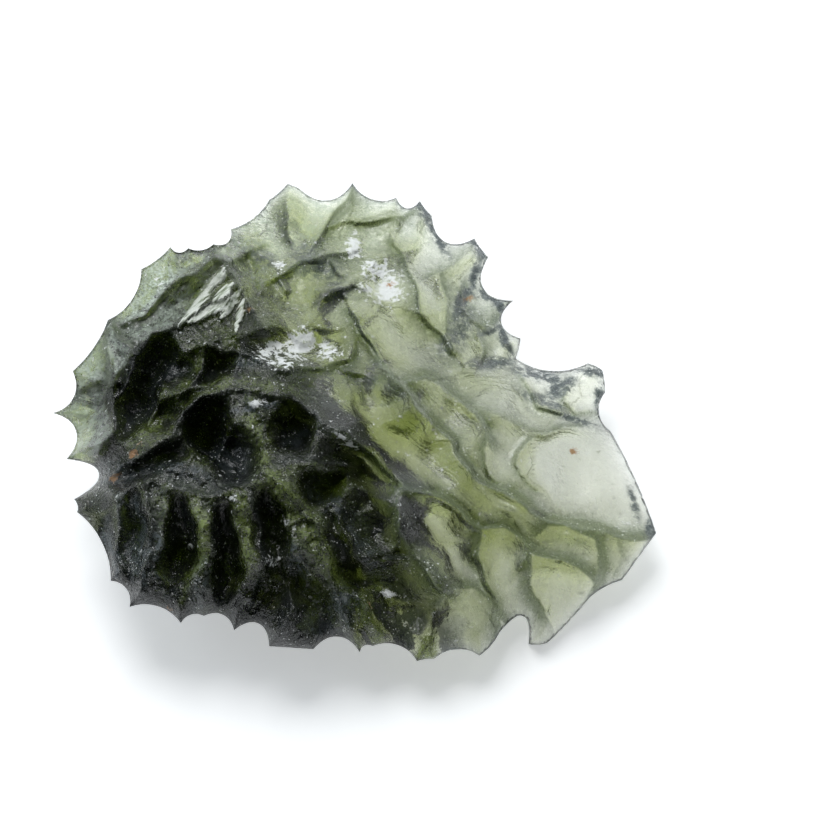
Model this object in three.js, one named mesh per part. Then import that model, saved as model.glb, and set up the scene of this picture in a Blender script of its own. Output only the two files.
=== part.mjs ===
// A moldavite: one piece of natural glass, etched by the ground into sharp crests, cups and a
// jagged rim.  Millimetres, +Z up.  It is one solid and it lies as it lay: the thick body to the
// left with worn flats of its belly on the table, the thin lobe to the right, where two tips of the
// rim touch the table.
//
// How it is made.  A sketch sheet leans back from the table by LEAN degrees.  Every point of the
// sheet (u to the right, v up the sheet) carries two heights above the table, one for the sculpted
// face and one for the belly.  The two skins meet in a knife edge along the rim.
//   face  = broad level through a few spot heights
//         - the deepest of the cups that cover it (cups meet in sharp crests by themselves)
//         + the named crest lines, which are steps between the scales
//   belly = face level - spot thicknesses - part of the face's relief + cups and channels of its own
// The skins are meshed with points that settle on the crests, so a few triangles draw them sharp.
import * as THREE from 'three';

// ---- driving sizes -------------------------------------------------------------------------
const GRID = 18;            // sketch grid lines per millimetre of stone
const HOME = [354, 420];    // grid point that is u = 0, v = 0
const LEAN = 55;            // degrees between the sheet and the upright
const CELL = 0.535;         // mm between mesh points of a skin
const RIM_STEP = 0.42;      // mm between mesh points along the rim
const BITE_POWER = 2.2;     // roundness of a bite between two rim tips
const EDGE_FRONT = 1.0;     // mm over which the face rises from the rim
const EDGE_BACK = 1.1;      // mm over which the belly falls from the rim
const LEAST = 0.22;         // mm, thinnest glass away from the rim
const FOLLOW = [0.10, 1.10];    // share of the face's relief that the belly repeats: scales, body
const BODY_BAND = [2, -4];  // mm on the sheet: where the scales end, and where the thick body begins
const BODY_CREST = 0.55;    // share of a crest's height that is left where the body is thick
const CREST_HOLD = 0.75;    // share of a cup's depth that a crest line holds back
const CREST_FADE = 0.4;     // mm over which it does so
const BELLY_RELIEF = 0.5;   // share of the belly cups' depth that shows
const SOFT = 0.12;          // mm, roundness where the two skins part
const CUP_SPILL = -0.15;    // mm, how far a crest between far cups may stand proud
const FLUTE_DEPTH = [0.9, 0.8];   // mm, flute behind each bite: face, belly
const FLUTE_REACH = [2.3, 1.9];   // mm, how far a flute runs inwards
const BACK_CUPS = 90;       // cups etched in the belly
const CENTRE = [0.03, -2.17];   // mm, taken off x and y so that the box stands over the origin

// ---- rim: tips in order (grid x, grid y, height mm, sag of the bite to the next tip in grid) ----
const RIM = [
  [53, 413, 5.4, 12], [73, 371, 7.4, 4], [108, 320, 8.6, 9], [141, 269, 8.8, 2],
  [170, 247, 9.0, 5], [188, 248, 9.2, 4], [213, 244, 9.0, 8], [230, 228, 5.6, 5],
  [268, 198, 3.8, 1], [286, 182, 3.4, -1], [300, 188, 3.4, 14], [352, 181, 3.6, 9],
  [396, 196, 3.4, 9], [420, 199, 3.4, 1], [432, 214, 3.5, 17], [475, 237, 3.4, 1],
  [489, 256, 3.3, 20], [514, 300, 3.0, 16], [521, 338, 2.9, -1], [516, 358, 2.8, 10],
  [588, 363, 2.6, -1], [603, 370, 2.5, -1], [606, 392, 2.5, 9], [611, 431, 2.4, -3],
  [656, 533, 2.2, 0], [622, 580, 1.5, 2], [590, 597, 0.8, -1], [547, 643, 0.0, -1],
  [528, 644, 0.0, 24], [499, 632, 2.0, -2], [479, 655, 2.0, 8], [434, 658, 2.4, 1],
  [417, 660, 2.6, 9], [373, 645, 2.8, 4], [360, 651, 3.0, 14], [314, 648, 3.2, 0],
  [270, 645, 3.4, 16], [235, 629, 3.7, 9], [205, 615, 3.8, 5], [182, 622, 4.0, 9],
  [131, 606, 4.3, 8], [112, 580, 4.6, 9], [78, 512, 5.0, 2], [75, 499, 5.2, 29],
  [67, 459, 5.2, 17],
];

// ---- spot heights of the face: grid x, grid y, height mm -------------------------------------
const FACE_LEVEL = [
  // folded rim and its crest
  [165, 275, 9.9], [205, 262, 9.9], [255, 245, 7.0], [118, 350, 9.3], [90, 400, 7.6],
  // upper lobe
  [300, 225, 5.2], [350, 215, 5.0], [400, 230, 5.0], [440, 260, 4.9], [480, 300, 4.4],
  [500, 345, 4.2], [350, 330, 8.2], [300, 290, 7.6], [450, 330, 5.8], [400, 300, 6.6],
  // valley shoulders and the thick body
  [150, 350, 9.6], [180, 310, 9.8], [240, 330, 9.6], [130, 440, 8.4], [165, 440, 9.0],
  [205, 400, 9.9], [255, 388, 10.0], [320, 420, 9.8], [240, 480, 9.8], [265, 475, 9.9],
  [340, 530, 8.4], [150, 490, 8.6], [200, 510, 9.2], [270, 540, 8.6],
  // flutes down to the lower rim
  [350, 600, 6.0], [280, 600, 6.2], [200, 580, 6.8], [140, 560, 7.0], [110, 540, 6.6],
  // scales falling to the thin lobe
  [400, 400, 8.6], [400, 490, 7.8], [455, 455, 7.0], [480, 400, 6.3], [540, 400, 4.7],
  [590, 400, 3.8], [520, 480, 5.5], [590, 480, 4.2], [560, 550, 3.5], [500, 570, 4.3],
  [430, 570, 6.0], [430, 620, 4.6], [540, 600, 2.8], [610, 540, 2.9],
];

// ---- spot thicknesses: grid x, grid y, mm down from the face --------------------------------
const THICKNESS = [
  // folded rim
  [85, 420, 1.8], [100, 360, 1.1], [130, 310, 1.3], [160, 280, 1.3], [205, 262, 2.8],
  [245, 250, 2.0], [90, 490, 3.0],
  // valley inside the rim
  [150, 350, 7.5], [140, 400, 7.0], [180, 370, 6.0], [230, 365, 4.0], [200, 310, 4.5],
  // thick body with the deep cup
  [205, 430, 9.5], [240, 460, 8.5], [170, 440, 5.0], [150, 475, 6.5], [270, 395, 3.5],
  [300, 430, 5.5], [300, 480, 6.5], [335, 485, 6.5], [360, 520, 4.5],
  // flutes
  [120, 530, 6.5], [140, 580, 5.5], [180, 540, 8.0], [225, 550, 7.0], [270, 530, 7.5],
  [200, 595, 5.0], [250, 600, 4.5], [310, 600, 3.6], [370, 570, 3.4], [360, 630, 2.6],
  // middle
  [350, 400, 2.6], [400, 400, 1.9], [380, 450, 1.6], [400, 580, 2.6], [410, 620, 2.0],
  [440, 530, 1.3], [455, 620, 1.3],
  // scales and thin lobe
  [420, 455, 1.2], [460, 480, 1.1], [480, 400, 0.9], [500, 450, 0.8], [540, 390, 0.9],
  [590, 385, 0.4], [560, 470, 0.1], [600, 470, 0.1], [630, 520, 0.3], [540, 520, 0.7],
  [500, 590, 0.5], [560, 550, 0.5], [560, 600, 0.4], [600, 560, 0.3], [520, 625, 0.4],
  // upper lobe
  [300, 290, 2.1], [260, 235, 1.3], [310, 225, 2.1], [350, 220, 1.8], [390, 230, 1.3],
  [430, 270, 0.9], [465, 260, 0.8], [400, 300, 1.0], [350, 330, 1.7], [300, 340, 2.1],
  [420, 340, 1.2], [470, 320, 1.0], [500, 340, 1.1], [250, 310, 3.4],
];

// channels of the belly below the ribs: depth mm, half width mm, then grid points
const CHANNELS = [
  [2.5, 0.6, [252, 400], [256, 440], [264, 476]],
  [3.0, 0.7, [264, 476], [285, 500], [305, 525], [325, 560], [345, 600]],
  [2.5, 0.5, [203, 500], [205, 530], [203, 570], [205, 600]],
  [2.0, 0.5, [243, 500], [246, 540], [243, 580]],
  [2.0, 0.5, [160, 500], [163, 540], [160, 590]],
  [1.5, 0.5, [120, 500], [126, 550]],
];
// bosses of the belly that the table has worn flat: grid x, grid y, radius mm, drop mm
const FEET = [
  [218, 548, 2.2, 2.0],
];

// ---- cups of the face: grid x, grid y, half length, half width (grid), turn of the length in
//      degrees, depth mm, lean of the floor along and across ----------------------------------
const CUPS = [
  // scales of the right half
  [418, 455, 86, 32, -29, 0.4, 0.1, -0.3], [437, 412, 46, 21, -45, 0.5, 0.1, -0.5],
  [530, 500, 76, 19, -28, 0.5, 0, -0.4], [505, 452, 30, 30, -60, 0.6, 0.3, 0],
  [590, 475, 78, 46, -25, 0.8, 0, -0.3], [500, 400, 72, 19, -17, 0.5, 0, -0.4],
  [545, 385, 24, 13, 0, 0.5, 0, 0], [585, 392, 20, 22, 0, 0.5, 0, 0],
  [565, 552, 44, 25, -25, 0.5, 0, -0.4], [622, 557, 30, 20, 15, 0.4, 0, 0],
  [556, 600, 46, 30, 70, 0.5, 0, 0], [507, 580, 60, 22, -82, 0.5, 0, 0],
  [442, 515, 42, 23, -28, 0.7, 0, -0.6], [470, 568, 44, 19, -70, 0.8, 0, -0.5],
  [458, 620, 42, 28, -65, 0.7, 0, 0], [395, 578, 50, 23, -20, 1.1, 0, -0.5],
  [385, 612, 30, 15, -75, 1.0, 0, 0], [420, 617, 26, 19, -60, 0.9, 0, 0],
  // middle
  [405, 345, 60, 30, -32, 0.6, 0.2, -0.3], [375, 400, 36, 22, -50, 0.8, 0, -0.4],
  [330, 400, 40, 24, -15, 0.9, 0, -0.4], [355, 465, 44, 20, -35, 1.3, 0, -0.4],
  [325, 487, 26, 21, 10, 1.9, 0, -0.3], [370, 525, 32, 34, -30, 1.4, 0, -0.3],
  [290, 428, 24, 28, 0, 1.9, 0, -0.2], [209, 430, 27, 34, -10, 3.0, 0, -0.2],
  [203, 441, 15, 19, -10, 4.0, 0, 0],
  [237, 455, 30, 34, 0, 1.9, 0, 0],
  // flutes of the lower left
  [134, 540, 60, 18, -86, 1.9, 0, 0], [110, 545, 50, 12, -86, 1.2, 0, 0],
  [180, 548, 60, 19, 85, 2.3, 0.1, 0], [228, 560, 60, 16, -88, 2.0, 0, 0],
  [275, 540, 54, 18, -76, 2.1, 0, 0], [255, 605, 34, 16, 86, 1.4, 0, 0],
  [300, 585, 44, 15, -62, 1.2, 0, 0], [315, 610, 40, 24, -80, 1.6, 0, 0.2],
  [345, 560, 50, 15, -60, 1.4, 0, 0],
  // left end: deep valley inside the folded rim, and the rim itself
  [140, 385, 62, 26, 62, 2.6, 0, -0.4], [205, 366, 52, 20, 8, 1.8, 0, -0.3],
  [180, 408, 40, 15, 25, 1.2, 0, 0], [150, 465, 44, 15, 28, 1.1, 0, 0],
  [95, 420, 34, 26, 70, 0.8, 0, 0], [90, 462, 34, 13, 15, 0.7, 0, 0],
  [95, 500, 24, 12, 20, 0.7, 0, 0], [122, 362, 38, 15, 60, 0.6, 0, 0],
  [98, 360, 30, 16, 55, 0.6, 0, 0], [140, 310, 40, 18, 25, 0.6, 0, 0],
  [160, 278, 26, 15, 45, 0.5, 0, 0], [200, 295, 50, 22, 38, 1.6, 0, -0.4],
  [245, 300, 24, 34, -10, 1.2, 0, 0], [270, 350, 34, 18, 10, 1.0, 0, 0],
  // upper lobe
  [200, 262, 40, 11, 18, 0.5, 0, 0], [262, 232, 36, 22, 35, 0.5, 0, 0],
  [305, 230, 34, 28, 60, 0.6, 0, 0], [290, 290, 36, 36, 0, 0.7, 0, 0],
  [340, 225, 30, 22, 45, 0.6, 0, 0], [320, 275, 30, 16, 10, 1.0, 0, -0.3],
  [380, 235, 30, 20, -10, 0.7, 0, 0], [345, 305, 26, 24, 20, 0.8, 0, 0],
  [385, 285, 26, 22, 0, 0.7, 0, 0], [435, 280, 46, 34, -30, 0.6, 0, 0],
  [455, 330, 34, 26, -60, 0.6, 0, 0], [485, 308, 24, 20, 0, 0.8, 0, 0],
  [490, 345, 26, 14, 80, 0.6, 0, 0], [315, 345, 34, 18, 10, 0.8, 0, -0.3],
];

// ---- crest lines of the face, which are steps: height mm, width mm of the steep side (left of
//      travel) and of the slope that leads up to it, then grid points ---------------------------
const CRESTS = [
  // the long diagonals between the scales
  [1.00, 0.50, 3.0, [400, 385], [406, 397], [414, 409], [428, 421], [441, 432], [450, 441],
    [455, 454], [464, 467], [476, 480], [490, 486], [505, 491], [518, 500], [530, 513],
    [545, 521], [570, 524], [590, 531], [615, 538], [652, 539]],
  [0.60, 0.25, 1.6, [400, 385], [378, 352], [366, 335], [354, 313]],
  [0.60, 0.45, 2.0, [400, 385], [425, 380], [440, 386], [465, 405], [476, 416], [485, 440]],
  [0.30, 0.30, 1.2, [465, 403], [500, 418], [530, 430], [550, 433], [580, 428]],
  [0.80, 0.60, 2.8, [410, 487], [395, 478], [370, 455], [345, 430], [320, 420]],
  [1.00, 0.45, 2.6, [404, 488], [425, 494], [440, 500], [452, 507], [465, 518], [478, 528],
    [490, 527], [502, 528], [513, 535], [523, 544], [532, 553], [560, 559], [576, 568], [592, 583]],
  [0.90, 0.60, 2.2, [440, 590], [425, 570], [408, 545], [402, 525], [398, 505], [400, 488]],
  [0.80, 0.50, 2.6, [499, 632], [497, 600], [487, 580], [480, 555], [478, 522]],
  [0.60, 0.45, 2.6, [545, 612], [530, 580], [530, 552]],
  [0.70, 0.40, 2.2, [540, 530], [549, 524], [568, 524], [583, 532], [596, 541], [600, 553],
    [597, 568], [592, 582]],
  [0.25, 0.30, 1.5, [618, 542], [622, 556], [612, 572]],
  [0.45, 0.35, 1.5, [440, 600], [450, 587], [475, 590], [490, 603], [498, 616]],
  [0.50, 0.35, 1.8, [385, 560], [410, 560], [430, 573], [442, 592]],
  [0.35, 0.25, 1.2, [510, 487], [495, 478], [485, 462], [483, 450], [488, 440]],
  [0.30, 0.25, 1.2, [536, 490], [520, 475], [515, 462], [518, 450], [530, 440]],
  [0.30, 0.25, 1.0, [560, 412], [540, 405], [530, 392], [522, 378]],
  [0.30, 0.25, 1.0, [600, 412], [575, 414], [563, 400], [568, 385]],
  // ring round the deep cup, and the spurs that leave it
  [0.60, 0.30, 0.9, [320, 418], [290, 395], [250, 390], [225, 392], [203, 398], [186, 412],
    [172, 434], [150, 450], [128, 462], [100, 482]],
  [0.50, 0.30, 0.9, [150, 470], [180, 488], [210, 495], [240, 486], [264, 476], [290, 464],
    [315, 458], [345, 466]],
  [0.50, 0.30, 0.7, [264, 476], [268, 440], [265, 418], [250, 402]],
  [0.60, 0.35, 0.9, [352, 640], [340, 600], [330, 560], [315, 525], [295, 500], [268, 474]],
  // folded rim
  [0.80, 0.40, 1.8, [108, 322], [116, 336], [128, 346], [137, 356], [135, 372], [123, 394],
    [113, 403], [115, 430], [101, 454]],
  [0.70, 0.35, 1.6, [228, 292], [205, 306], [181, 325], [170, 330], [150, 335], [137, 356]],
  [0.60, 0.35, 1.4, [252, 250], [230, 263], [214, 260], [192, 274], [168, 283], [161, 297],
    [145, 315], [120, 322]],
  [0.45, 0.25, 1.0, [112, 398], [114, 370], [108, 345], [108, 322]],
  [0.40, 0.25, 1.0, [110, 380], [92, 380], [78, 388]],
  [0.35, 0.35, 1.0, [262, 330], [250, 310], [240, 285], [228, 264]],
  [0.50, 0.30, 1.2, [352, 352], [345, 362], [320, 368], [280, 368], [250, 357], [225, 350]],
  [0.50, 0.30, 1.4, [243, 345], [242, 358], [236, 374]],
  [0.50, 0.30, 1.4, [207, 350], [202, 365], [193, 380]],
  // ribs between the flutes
  [0.60, 0.30, 1.0, [112, 490], [121, 520], [121, 550], [115, 575]],
  [0.60, 0.30, 1.3, [146, 485], [152, 520], [150, 556], [142, 590]],
  [0.60, 0.30, 1.0, [205, 500], [214, 530], [208, 565], [202, 605]],
  [0.60, 0.30, 1.2, [248, 500], [264, 530], [262, 560], [250, 600]],
  // upper lobe
  [0.50, 0.30, 1.5, [352, 182], [345, 200], [332, 215], [318, 240], [300, 262], [278, 278]],
  [0.40, 0.25, 1.3, [288, 238], [286, 222], [288, 203]],
  [0.40, 0.30, 1.2, [420, 200], [400, 212], [375, 217], [356, 222]],
  [0.50, 0.30, 1.0, [350, 250], [325, 256], [300, 262]],
  [0.40, 0.30, 1.3, [452, 352], [440, 335], [418, 312], [420, 290], [408, 262], [395, 240]],
  [0.45, 0.25, 1.2, [462, 288], [463, 306], [472, 322], [488, 327], [503, 318]],
  [0.35, 0.25, 1.0, [440, 270], [448, 300], [444, 330]],
  [0.35, 0.25, 1.0, [476, 330], [480, 345], [478, 360]],
  [0.40, 0.30, 1.0, [400, 376], [380, 372], [352, 374]],
];

// ---- small helpers -----------------------------------------------------------------------------
const rad = (deg) => deg * Math.PI / 180;
const across = (gx) => (gx - HOME[0]) / GRID;
const up = (gy) => (HOME[1] - gy) / GRID;
const { sin, cos, exp, hypot, max, min } = Math;

// from the leaning sheet to the table: a point keeps its place on the sheet, whatever its height
const place = (u, v, z) => [
  u - CENTRE[0],
  (v - z * cos(rad(LEAN))) / sin(rad(LEAN)) - CENTRE[1],
  z,
];

// ---- rim loop: each bite is one arc between two tips ---------------------------------------------
function bite(i) {
  const a = RIM[i], b = RIM[(i + 1) % RIM.length];
  const A = [across(a[0]), up(a[1])], B = [across(b[0]), up(b[1])];
  const length = hypot(B[0] - A[0], B[1] - A[1]);
  const inward = [(B[1] - A[1]) / length, -(B[0] - A[0]) / length];
  return { A, B, length, inward, sag: a[3] / GRID, za: a[2], zb: b[2] };
}
function rimLoop(step) {
  const loop = [];
  for (let i = 0; i < RIM.length; i++) {
    const { A, B, length, inward, sag, za, zb } = bite(i);
    const n = max(2, Math.round(length / step));
    for (let k = 0; k < n; k++) {
      const t = k / n, bow = sag * (1 - Math.abs(2 * t - 1) ** BITE_POWER);
      loop.push([
        A[0] + (B[0] - A[0]) * t + inward[0] * bow,
        A[1] + (B[1] - A[1]) * t + inward[1] * bow,
        za + (zb - za) * t,
      ]);
    }
  }
  return loop;
}
const RIM_HEIGHTS = rimLoop(0.5);

// ---- fields over the sheet -----------------------------------------------------------------------
// a slow wander, so that no cup is a true ellipse and no crest a true line
function wander(u, v) {
  return [
    u + 0.20 * sin(1.3 * v + 0.7 * u + 1.0) + 0.10 * sin(3.1 * v - 1.9 * u),
    v + 0.20 * sin(1.2 * u - 0.8 * v + 2.0) + 0.10 * sin(2.7 * u + 2.2 * v),
  ];
}
// height of the rim, carried inwards
function rimHeight(u, v) {
  let sum = 0, weights = 0;
  for (const [x, y, z] of RIM_HEIGHTS) {
    const w = 1 / ((u - x) ** 2 + (v - y) ** 2 + 0.02) ** 1.5;
    sum += w * z;
    weights += w;
  }
  return sum / weights;
}
// smooth level through spot heights
function level(u, v, spots) {
  let sum = 0, weights = 0;
  for (const [gx, gy, z] of spots) {
    const w = 1 / ((u - across(gx)) ** 2 + (v - up(gy)) ** 2 + 0.8) ** 2;
    sum += w * z;
    weights += w;
  }
  return sum / weights;
}
// one cup: a paraboloid bowl, deeper towards one side, falling off for ever outside
function cupDepth(u, v, cup) {
  const dx = u - cup.u, dy = v - cup.v;
  const x = (dx * cup.c + dy * cup.s) / cup.a, y = (dy * cup.c - dx * cup.s) / cup.b;
  const depth = cup.depth * (1 - x * x - y * y);
  return depth > 0 ? depth * min(2, max(0.1, 1 + cup.kx * x + cup.ky * y)) : depth;
}
// the deepest cup at a point, and the runner-up
function carve(u, v, cups) {
  let first = CUP_SPILL, second = CUP_SPILL;
  for (const cup of cups) {
    const d = cupDepth(u, v, cup);
    if (d > first) { second = first; first = d; } else if (d > second) second = d;
  }
  return [first, second];
}
const cupOf = (u, v, a, b, turn, depth, kx, ky) =>
  ({ u, v, a, b, depth, kx, ky, c: cos(rad(turn)), s: sin(rad(turn)) });

// a flute behind every bite of the rim
function flutes(side) {
  const out = [];
  for (let i = 0; i < RIM.length; i++) {
    const { A, B, length, inward, sag } = bite(i);
    if (sag * GRID < 3) continue;
    const reach = FLUTE_REACH[side], off = sag + reach * 0.35;
    out.push(cupOf((A[0] + B[0]) / 2 + inward[0] * off, (A[1] + B[1]) / 2 + inward[1] * off,
      reach, 0.55 * length, Math.atan2(inward[1], inward[0]) * 180 / Math.PI,
      FLUTE_DEPTH[side], 0, 0));
  }
  return out;
}
const FACE_CUPS = [
  ...CUPS.map(([gx, gy, a, b, turn, depth, kx, ky]) =>
    cupOf(across(gx), up(gy), a / GRID, b / GRID, turn, depth, kx, ky)),
  ...flutes(0),
];
// the belly is etched all over: cups set out on a spiral, no two alike
const BELLY_CUPS = [];
for (let k = 0; k < BACK_CUPS; k++) {
  const turn = k * 2.39996, r = Math.sqrt((k + 0.5) / BACK_CUPS);
  const a = 1.8 + 0.6 * sin(k * 1.7), b = a * (0.75 + 0.2 * sin(k * 2.9));
  BELLY_CUPS.push(cupOf(15.8 * r * cos(turn), -0.3 + 12.8 * r * sin(turn), a * 1.3, b * 1.2,
    turn * 180 / Math.PI + 35 * sin(k * 0.9), 1.0 + 0.35 * sin(k * 2.3),
    0.3 * sin(k * 1.1), 0.3 * cos(k * 1.9)));
}
BELLY_CUPS.push(...flutes(1));

// nearest point of a polyline, and the side it is on: +1 left of travel, -1 right
function nearest(u, v, line) {
  let best = [Infinity, u, v, 1];
  for (let i = 0; i + 1 < line.length; i++) {
    const [ax, ay] = line[i], [bx, by] = line[i + 1];
    const ex = bx - ax, ey = by - ay;
    const t = min(1, max(0, ((u - ax) * ex + (v - ay) * ey) / (ex * ex + ey * ey)));
    const x = ax + t * ex, y = ay + t * ey, d = hypot(u - x, v - y);
    if (d < best[0]) best = [d, x, y, Math.sign(ex * (v - ay) - ey * (u - ax))];
  }
  return best;
}
const toSheet = (points) => points.map(([gx, gy]) => [across(gx), up(gy)]);
const CREST_LINES = CRESTS.map(([height, steep, gentle, ...points]) =>
  ({ height, steep, gentle, line: toSheet(points) }));
const CHANNEL_LINES = CHANNELS.map(([deep, width, ...points]) =>
  ({ deep, width, line: toSheet(points) }));

// crest lines raise the skin, steeply on one side, and hold the cups back beside them
function crest(u, v) {
  let add = 0, keep = 1;
  for (const { height, steep, gentle, line } of CREST_LINES) {
    const [d, , , side] = nearest(u, v, line);
    add = max(add, height * (1 - min(1, d / (side > 0 ? steep : gentle))));
    keep = min(keep, 1 - CREST_HOLD * exp(-d / CREST_FADE));
  }
  return [add, keep];
}
function channel(u, v) {
  return max(...CHANNEL_LINES.map(({ deep, width, line }) =>
    deep * exp(-((nearest(u, v, line)[0] / width) ** 2))));
}
function footDrop(u, v) {
  return max(...FEET.map(([gx, gy, radius, deep]) => {
    const q = ((u - across(gx)) ** 2 + (v - up(gy)) ** 2) / radius ** 2;
    return deep * exp(-q * q);
  }));
}
// 0 among the scales, 1 in the thick body, smooth between
function bodyShare(u, v) {
  const [start, end] = BODY_BAND;
  const t = min(1, max(0, (u + 0.35 * v - start) / (end - start)));
  return t * t * (3 - 2 * t);
}
const half = (u, v) => { const [x, y] = wander(u, v); return [(x + u) / 2, (y + v) / 2]; };
const bellyPoint = (u, v) => { const [x, y] = wander(u, v); return [x + 0.3, y - 0.2]; };

// heights of the two skins at a point that lies "inside" mm within the rim
function skins(u, v, inside) {
  const middle = rimHeight(u, v), body = bodyShare(u, v);
  const [step, keep] = crest(...half(u, v));
  const add = step * (1 - (1 - BODY_CREST) * body);
  const faceCut = carve(...wander(u, v), FACE_CUPS)[0] * keep;
  const bellyCut = BELLY_RELIEF * carve(...bellyPoint(u, v), BELLY_CUPS)[0];
  const top = level(u, v, FACE_LEVEL) - middle;
  // the belly follows the relief of the face, little under the scales and fully under the body
  const follow = (FOLLOW[0] + (FOLLOW[1] - FOLLOW[0]) * body) * (faceCut - add);
  const rise = (top - faceCut + add) * (1 - exp(-inside / EDGE_FRONT));
  const fall = (level(u, v, THICKNESS) - top + follow - bellyCut - channel(u, v) + footDrop(u, v))
    * (1 - exp(-inside / EDGE_BACK));
  // never thinner than a blade: the two skins part softly
  const thick = rise + fall, least = LEAST * (1 - exp(-inside / 0.5));
  const part = (least + SOFT * Math.log(1 + exp((thick - least) / SOFT)) - thick) / 2;
  return [middle + rise + part, max(0, middle - fall - part)];
}

// ---- mesh points ---------------------------------------------------------------------------------
function insideLoop(u, v, loop) {
  let odd = false;
  for (let i = 0, j = loop.length - 1; i < loop.length; j = i++) {
    const [ax, ay] = loop[i], [bx, by] = loop[j];
    if ((ay > v) !== (by > v) && u < (bx - ax) * (v - ay) / (by - ay) + ax) odd = !odd;
  }
  return odd;
}
// move a point onto the crest it is close to
function settle(u, v, side) {
  const reach = CELL * 0.5;
  if (side === 0) {
    const [x, y] = half(u, v);
    let best = [Infinity, x, y];
    for (const { line } of CREST_LINES) {
      const hit = nearest(x, y, line);
      if (hit[0] < best[0]) best = hit;
    }
    if (best[0] < reach) return [u + best[1] - x, v + best[2] - y];
  }
  const gap = (a, b) => {
    const [first, second] = side ? carve(...bellyPoint(a, b), BELLY_CUPS)
      : carve(...wander(a, b), FACE_CUPS);
    return first - second;
  };
  const g = gap(u, v), e = 0.03;
  const gu = (gap(u + e, v) - gap(u - e, v)) / (2 * e);
  const gv = (gap(u, v + e) - gap(u, v - e)) / (2 * e);
  const slope = hypot(gu, gv);
  if (slope < 0.2 || g / slope > reach) return [u, v];
  return [u - g * gu / slope ** 2, v - g * gv / slope ** 2];
}
function scatter(loop, side) {
  const kept = [];
  const closed = [...loop, loop[0]];
  const low = [Infinity, Infinity], high = [-Infinity, -Infinity];
  for (const [x, y] of loop) {
    low[0] = min(low[0], x); high[0] = max(high[0], x);
    low[1] = min(low[1], y); high[1] = max(high[1], y);
  }
  const rowStep = CELL * sin(rad(60));
  for (let j = 0; low[1] + j * rowStep < high[1]; j++) {
    for (let i = 0; low[0] + i * CELL < high[0]; i++) {
      // a staggered field, shaken a little so that no four points share a circle
      const u = low[0] + (i + 0.5 * (j % 2)) * CELL + 0.05 * sin(i * 7.3 + j * 3.1);
      const v = low[1] + j * rowStep + 0.05 * sin(i * 2.7 + j * 5.9);
      if (!insideLoop(u, v, loop)) continue;
      const edge = nearest(u, v, closed)[0];
      if (edge < CELL * 0.5) continue;
      const p = edge > CELL * 1.6 ? settle(u, v, side) : [u, v];
      if (kept.every((q) => hypot(q[0] - p[0], q[1] - p[1]) > CELL * 0.42)) kept.push(p);
    }
  }
  return kept;
}

// ---- Delaunay triangles of a point set (each new point re-cuts the circles that hold it) --------
function triangulate(points) {
  const all = [...points, [-400, -300], [400, -300], [0, 500]];
  const n = points.length;
  const circle = (a, b, c) => {
    const [ax, ay] = all[a], [bx, by] = all[b], [cx, cy] = all[c];
    const d = 2 * (ax * (by - cy) + bx * (cy - ay) + cx * (ay - by));
    const A = ax * ax + ay * ay, B = bx * bx + by * by, C = cx * cx + cy * cy;
    const x = (A * (by - cy) + B * (cy - ay) + C * (ay - by)) / d;
    const y = (A * (cx - bx) + B * (ax - cx) + C * (bx - ax)) / d;
    return { a, b, c, x, y, r: (ax - x) ** 2 + (ay - y) ** 2 };
  };
  let triangles = [circle(n, n + 1, n + 2)];
  for (let p = 0; p < n; p++) {
    const [x, y] = all[p], left = [], edges = new Map();
    for (const t of triangles) {
      if ((t.x - x) ** 2 + (t.y - y) ** 2 >= t.r) { left.push(t); continue; }
      for (const [i, j] of [[t.a, t.b], [t.b, t.c], [t.c, t.a]]) {
        const back = j * (n + 3) + i;
        if (edges.has(back)) edges.delete(back); else edges.set(i * (n + 3) + j, [i, j]);
      }
    }
    for (const [i, j] of edges.values()) left.push(circle(i, j, p));
    triangles = left;
  }
  return triangles.filter((t) => t.a < n && t.b < n && t.c < n).map((t) => [t.a, t.b, t.c]);
}

// one skin of the sheet.  A mesh edge that jumps from rim to rim would pinch the glass to nothing,
// so such an edge gets a point in its middle, until there are none.
function sheet(loop, side) {
  const n = loop.length, inner = scatter(loop, side);
  for (;;) {
    const points = [...loop, ...inner];
    const triangles = triangulate(points).filter((t) => insideLoop(
      (points[t[0]][0] + points[t[1]][0] + points[t[2]][0]) / 3,
      (points[t[0]][1] + points[t[1]][1] + points[t[2]][1]) / 3, loop));
    const pinches = new Map();
    for (const t of triangles) {
      for (const [i, j] of [[t[0], t[1]], [t[1], t[2]], [t[2], t[0]]]) {
        if (i >= n || j >= n || (j - i + n) % n === 1 || (i - j + n) % n === 1) continue;
        pinches.set(min(i, j) * n + max(i, j),
          [(points[i][0] + points[j][0]) / 2, (points[i][1] + points[j][1]) / 2]);
      }
    }
    if (!pinches.size) return { inner, triangles };
    inner.push(...pinches.values());
  }
}

// ---- the stone -----------------------------------------------------------------------------------
function stone() {
  const loop = rimLoop(RIM_STEP);
  const closed = [...loop, loop[0]];
  const positions = [];
  for (const [u, v, z] of loop) positions.push(...place(u, v, z));
  const index = [];
  for (const side of [0, 1]) {
    const { inner, triangles } = sheet(loop, side);
    const start = positions.length / 3;
    for (const [u, v] of inner) {
      positions.push(...place(u, v, skins(u, v, nearest(u, v, closed)[0])[side]));
    }
    const at = (i) => i < loop.length ? i : start + i - loop.length;
    for (const [a, b, c] of triangles) {
      if (side === 0) index.push(at(a), at(b), at(c)); else index.push(at(c), at(b), at(a));
    }
  }
  const geometry = new THREE.BufferGeometry();
  geometry.setAttribute('position', new THREE.Float32BufferAttribute(positions, 3));
  geometry.setIndex(index);
  geometry.computeVertexNormals();
  return geometry;
}

const glass = new THREE.MeshStandardMaterial({ color: 0x6f8250, roughness: 0.35, metalness: 0 });
glass.transparent = true;
glass.opacity = 0.85;

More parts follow.
